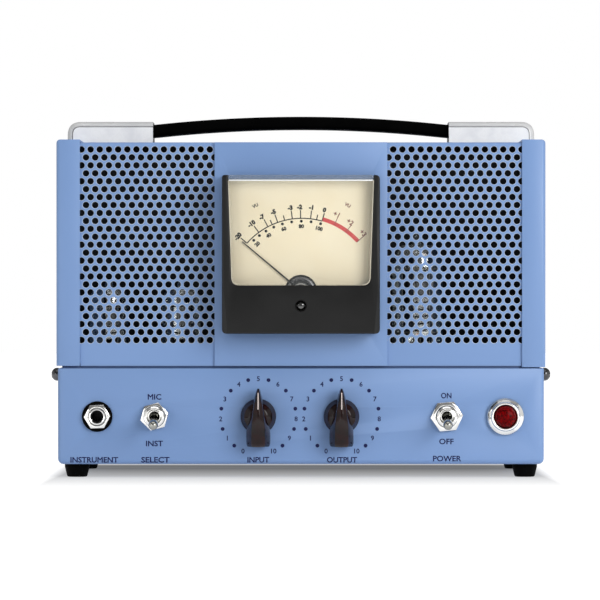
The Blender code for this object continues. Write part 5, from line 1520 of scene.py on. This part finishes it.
def smallScrews(name, centre, places):
    radius, seat = smallHead["radius"], rear["plateTop"]
    dome, side = seat + smallHead["dome"], seat + smallHead["side"]
    profile = eased([(0, dome, 0), (radius * smallHead["share"], dome, smallHead["domeEase"]),
                     (radius, side, smallHead["sideEase"]), (radius, seat, 0), (0, seat, 0)])
    heads = [moved(lathe(profile, 24), (x, y, 0)) for x, y in places]
    piece(name, together(*heads), zincPlate, centre, facingRear)


def cornered(halfWide, halfTall, corner, steps):
    return eased([(halfWide, halfTall, corner), (-halfWide, halfTall, corner), (-halfWide, -halfTall, corner),
                  (halfWide, -halfTall, corner)], steps, True)


def rearCentre(name):
    low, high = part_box(name)
    return ((low.x + high.x) / 2, rearY, (low.z + high.z) / 2)


def socketPlate():
    outline = cornered(rear["halfWide"], rear["halfTall"], rear["corner"], 5)
    return slab([outline, ring(rear["bore"], 48)], rear["plateLow"], rear["plateTop"], rear["ease"])


def threePlaces():
    return ring(rear["pinCircle"], 4, start=2 * quarter)[:3]


def plateScrews(name, centre):
    x, y = rear["screwX"], rear["screwY"]
    smallScrews(name, centre, ((-x, y), (x, -y)))


inlet = {"core": 7.7 * mm, "coreTop": 1.9 * mm, "coreEnd": -10 * mm, "coreEase": 0.6 * mm,
         "contact": 1.7 * mm, "contactBore": 1.1 * mm, "contactTop": 2.05 * mm, "contactEnd": -4 * mm,
         "latchEase": 0.5 * mm}


def makeInlet():
    centre = rearCentre("microphone_inlet")
    bore, outside, face, end = rear["bore"], rear["outside"], rear["face"], rear["end"]
    wall = lathe(eased([(bore, end, 0), (bore, face, 0), (outside, face, 0), (outside, end, 0)], 3, True),
                 48, True)
    core = lathe(eased([(0, inlet["coreTop"], 0), (inlet["core"], inlet["coreTop"], inlet["coreEase"]),
                        (inlet["core"], inlet["coreEnd"], 0), (0, inlet["coreEnd"], 0)]), 48)
    piece("microphone_socket", together(socketPlate(), wall, core), blackPlastic, centre,
          facingRear, standsFor=("microphone_inlet",), crease=30)
    contact = [(inlet["contactBore"], inlet["contactTop"]), (inlet["contact"], inlet["contactTop"]),
               (inlet["contact"], inlet["contactEnd"]), (inlet["contactBore"], inlet["contactEnd"])]
    contacts = [moved(lathe(contact, 20, True), (x, y, 0)) for x, y in threePlaces()]
    piece("microphone_contacts", together(*contacts), goldPlate, centre, facingRear)
    plateScrews("microphone_screws", centre)
    low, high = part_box("inlet_latch")
    piece("latch_tab", box(low, high, inlet["latchEase"], 3), chrome, body="latch",
          standsFor=("inlet_latch",))


outlet = {"floor": -11 * mm, "pin": 1.2 * mm, "pinTop": 0.8 * mm, "pinSide": 0.6 * mm, "pinEase": 0.6 * mm,
          "pinEnd": -12 * mm}


def makeOutlet():
    centre = rearCentre("line_outlet")
    bore, outside, face, end = rear["bore"], rear["outside"], rear["face"], rear["end"]
    cup = lathe(eased([(0, outlet["floor"], 0), (bore, outlet["floor"], 0), (bore, face, 0),
                       (outside, face, 0), (outside, end, 0), (0, end, 0)]), 48)
    piece("line_socket", together(socketPlate(), cup), blackPlastic, centre, facingRear,
          standsFor=("line_outlet",), crease=30)
    pin = eased([(0, outlet["pinTop"], 0), (outlet["pin"], outlet["pinSide"], outlet["pinEase"]),
                 (outlet["pin"], outlet["pinEnd"], 0), (0, outlet["pinEnd"], 0)])
    pins = [moved(lathe(pin, 20), (x, y, 0)) for x, y in threePlaces()]
    piece("line_pins", together(*pins), goldPlate, centre, facingRear)
    plateScrews("line_screws", centre)


mains = {"halfWide": 25 * mm, "halfTall": 13.5 * mm, "ease": 0.4 * mm, "wallWide": 16 * mm,
         "wallTall": 11.5 * mm, "wallCorner": 2 * mm, "tunnel": -14 * mm, "floorFace": -13.7 * mm,
         "end": -22 * mm, "screwX": 20.5 * mm, "bladeThick": 1 * mm, "bladeTall": 2 * mm,
         "bladeTop": -0.7 * mm, "bladeEase": 0.4 * mm, "mouthEase": 1 * mm}
# The mouth's corners and the middles of the three blades; in mm
mainsMouth = [(12.5, 4.5), (8.5, 8.7), (-8.5, 8.7), (-12.5, 4.5), (-12.5, -8.7), (12.5, -8.7)]
mainsBlades = [(-7, -2), (7, -2), (0, 2)]


def makeMains():
    centre = rearCentre("mains_inlet")
    outline = cornered(mains["halfWide"], mains["halfTall"], rear["corner"], 5)
    mouth = eased([(x * mm, y * mm, mains["mouthEase"]) for x, y in mainsMouth], 3, True)
    plate = slab([outline, mouth], rear["plateLow"], rear["plateTop"], mains["ease"])
    wall = cornered(mains["wallWide"], mains["wallTall"], mains["wallCorner"], 3)
    tunnel = slab([wall, mouth], mains["tunnel"], rear["face"])
    floor = slab([wall], mains["end"], mains["floorFace"])
    piece("mains_socket", together(plate, tunnel, floor), blackPlastic, centre, facingRear,
          standsFor=("mains_inlet",), crease=30)
    wide, tall = mains["bladeThick"], mains["bladeTall"]
    blades = [box((x * mm - wide, y * mm - tall, mains["tunnel"]),
                  (x * mm + wide, y * mm + tall, mains["bladeTop"]), mains["bladeEase"])
              for x, y in mainsBlades]
    piece("mains_blades", together(*blades), chrome, centre, facingRear)
    smallScrews("mains_screws", centre, ((-mains["screwX"], 0), (mains["screwX"], 0)))


fuse = {"foot": 2.8 * mm, "grips": 18, "gripCircle": 6.35 * mm, "gripEase": 0.12 * mm, "gripLow": 0.6 * mm,
        "gripTop": 1.4 * mm, "neck": 3.6 * mm, "neckEase": 0.6 * mm, "slotHalf": 0.7 * mm,
        "slotReach": 7 * mm, "slotDeep": 1.2 * mm}
# The holder: radius, height over the panel, ease; in mm
fuseHolder = [(4.2, -24, 0), (4.2, 2.5, 0), (8, 2.5, 0.8), (8, 0.3, 0), (6, 0.3, 0), (6, -28, 0.6)]


def makeFuse():
    centre = rearCentre("fuse_holder")
    profile = eased([(r * mm, height * mm, ease * mm) for r, height, ease in fuseHolder], 3, True)
    piece("fuse_body", lathe(profile, 48, True), blackPlastic, centre, facingRear,
          standsFor=("fuse_holder",))
    low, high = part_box("fuse_cap")
    reach, start, under = high.y - rearY, low.y - rearY, fuse["foot"]
    neck, ease = fuse["neck"], fuse["neckEase"]
    grips = []
    for k, (x, y) in enumerate(ring(fuse["gripCircle"], fuse["grips"])):
        rib = box((-0.35 * mm, -0.5 * mm, under + fuse["gripLow"]),
                  (0.25 * mm, 0.5 * mm, reach - fuse["gripTop"]), fuse["gripEase"])
        grips.append(moved(rib, (x, y, 0), (0, 0, k * 4 * quarter / fuse["grips"])))
    grip = lathe(eased([(0, start, 0), (neck, start, ease), (neck, under, 0), (6.4 * mm, under, 0.4 * mm),
                        (6.1 * mm, reach, 0.9 * mm), (0, reach, 0)]), 48)
    made = piece("fuse_cap_grip", together(grip, *grips), blackPlastic, centre, facingRear,
                 "fuse_carrier", ("fuse_cap",))
    half, deep = fuse["slotHalf"], reach - fuse["slotDeep"]
    cutWith(made, box((-fuse["slotReach"], -half, deep), (fuse["slotReach"], half, reach + 1 * mm)), "slot")


makeInlet()
makeOutlet()
makeMains()
makeFuse()
print("rear sockets made")


# Room and light

# Strengths of light, and places in metres
room = {"half": 6.0, "bounce": 0.86, "floor": 0.3, "darkest": 0.05, "shadeEnd": 0.126, "shadeGone": 0.14,
        "shadeRear": 0.115, "shadeBehind": 0.16, "shadeFront": -0.28}
# The walls that metal mirrors, by the direction's share along an axis: where each starts and is full
walls = {"gap": 0.08, "front": (-0.72, -0.93, 0.36), "overhead": (0.45, 0.8, 0.46), "sides": (0.7, 0.8, 0.95)}


def ramp(tree, value, start, end, low, high):
    # Goes from low to high while the value goes from start to end
    step = tree.nodes.new("ShaderNodeMapRange")
    for name, number in (("From Min", start), ("From Max", end), ("To Min", low), ("To Max", high)):
        step.inputs[name].default_value = number
    tree.links.new(value, step.inputs["Value"])
    return step.outputs["Result"]


def worked(tree, operation, *values):
    step = tree.nodes.new("ShaderNodeMath")
    step.operation = operation
    for value, socketIn in zip(values, step.inputs):
        tree.links.new(value, socketIn)
    return step.outputs["Value"]


def axes(tree, output):
    # X without its sign, Y and Z of a place or direction
    spot = tree.nodes.new("ShaderNodeTexCoord")
    split = tree.nodes.new("ShaderNodeSeparateXYZ")
    tree.links.new(spot.outputs[output], split.inputs["Vector"])
    return worked(tree, "ABSOLUTE", split.outputs["X"]), split.outputs["Y"], split.outputs["Z"]


def seenDirectly(tree):
    # 1 for the rays that show the floor to the camera, and in metal and glass
    path = tree.nodes.new("ShaderNodeLightPath")
    rays = worked(tree, "MAXIMUM", path.outputs["Is Camera Ray"], path.outputs["Is Transmission Ray"])
    return worked(tree, "MAXIMUM", rays, path.outputs["Is Glossy Ray"])


def makeFloor():
    # White, but for the case's own shadow and a soft shade under and before it
    ground = bmesh.new()
    bmesh.ops.create_grid(ground, x_segments=1, y_segments=1, size=room["half"])
    mesh = bpy.data.meshes.new("floor")
    ground.to_mesh(mesh)
    ground.free()
    floor = bpy.data.objects.new("floor", mesh)
    bpy.context.scene.collection.objects.link(floor)
    paint = bpy.data.materials.new("floorWhite")
    paint.use_nodes = True
    tree = paint.node_tree
    shader = tree.nodes["Principled BSDF"]
    shader.inputs["Roughness"].default_value = 0.9
    shader.inputs["Specular IOR Level"].default_value = 0.0
    shader.inputs["Emission Color"].default_value = (1, 1, 1, 1)
    path = tree.nodes.new("ShaderNodeLightPath")
    colour = ramp(tree, path.outputs["Is Camera Ray"], 0, 1, room["bounce"], room["floor"])
    tree.links.new(colour, shader.inputs["Base Color"])
    across, along, _ = axes(tree, "Object")
    beside = ramp(tree, across, room["shadeEnd"], room["shadeGone"], 0, 1)
    before = ramp(tree, along, room["shadeRear"], room["shadeFront"], room["darkest"], 1)
    behind = ramp(tree, along, room["shadeRear"], room["shadeBehind"], 0, 1)
    white = worked(tree, "MAXIMUM", worked(tree, "MAXIMUM", beside, before), behind)
    glow = worked(tree, "MULTIPLY", seenDirectly(tree), white)
    tree.links.new(glow, shader.inputs["Emission Strength"])
    mesh.materials.append(paint)


def makeWorld():
    # White to the camera and through glass. Other rays see bright walls and a ceiling with dark between
    world = bpy.data.worlds.new("world")
    bpy.context.scene.world = world
    world.use_nodes = True
    tree = world.node_tree
    back = tree.nodes["Background"]
    back.inputs["Color"].default_value = (1, 1, 1, 1)
    across, along, upward = axes(tree, "Generated")
    gap = walls["gap"]
    sides, front, overhead = (ramp(tree, value, start, end, gap, strength) for value, (start, end, strength)
                              in ((across, walls["sides"]), (along, walls["front"]),
                                  (upward, walls["overhead"])))
    seen = worked(tree, "MAXIMUM", worked(tree, "MAXIMUM", front, overhead), sides)
    path = tree.nodes.new("ShaderNodeLightPath")
    clear = worked(tree, "MAXIMUM", path.outputs["Is Camera Ray"], path.outputs["Is Transmission Ray"])
    tree.links.new(worked(tree, "MAXIMUM", seen, clear), back.inputs["Strength"])


lamps = [
    {"name": "key", "where": (0.85, -1.2, 0.5), "size": (0.7, 0.7), "power": 12},
    {"name": "fill", "where": (-0.75, -0.95, 0.2), "size": (0.3, 0.6), "power": 1.6},
    {"name": "top", "where": (0.0, -0.6, 1.4), "size": (1.2, 0.6), "power": 3.4}]


def makeLamps():
    for lamp in lamps:
        light = bpy.data.lights.new(lamp["name"], "AREA")
        light.shape = "RECTANGLE"
        light.size, light.size_y = lamp["size"]
        light.energy = lamp["power"]
        holder = bpy.data.objects.new(lamp["name"], light)
        bpy.context.scene.collection.objects.link(holder)
        holder.location = lamp["where"]
        aim = Vector((0, 0, 0.1)) - Vector(lamp["where"])
        holder.rotation_euler = aim.to_track_quat("-Z", "Y").to_euler()


makeFloor()
makeWorld()
makeLamps()
bpy.context.scene.view_settings.view_transform = "Standard"
print("room and light made")
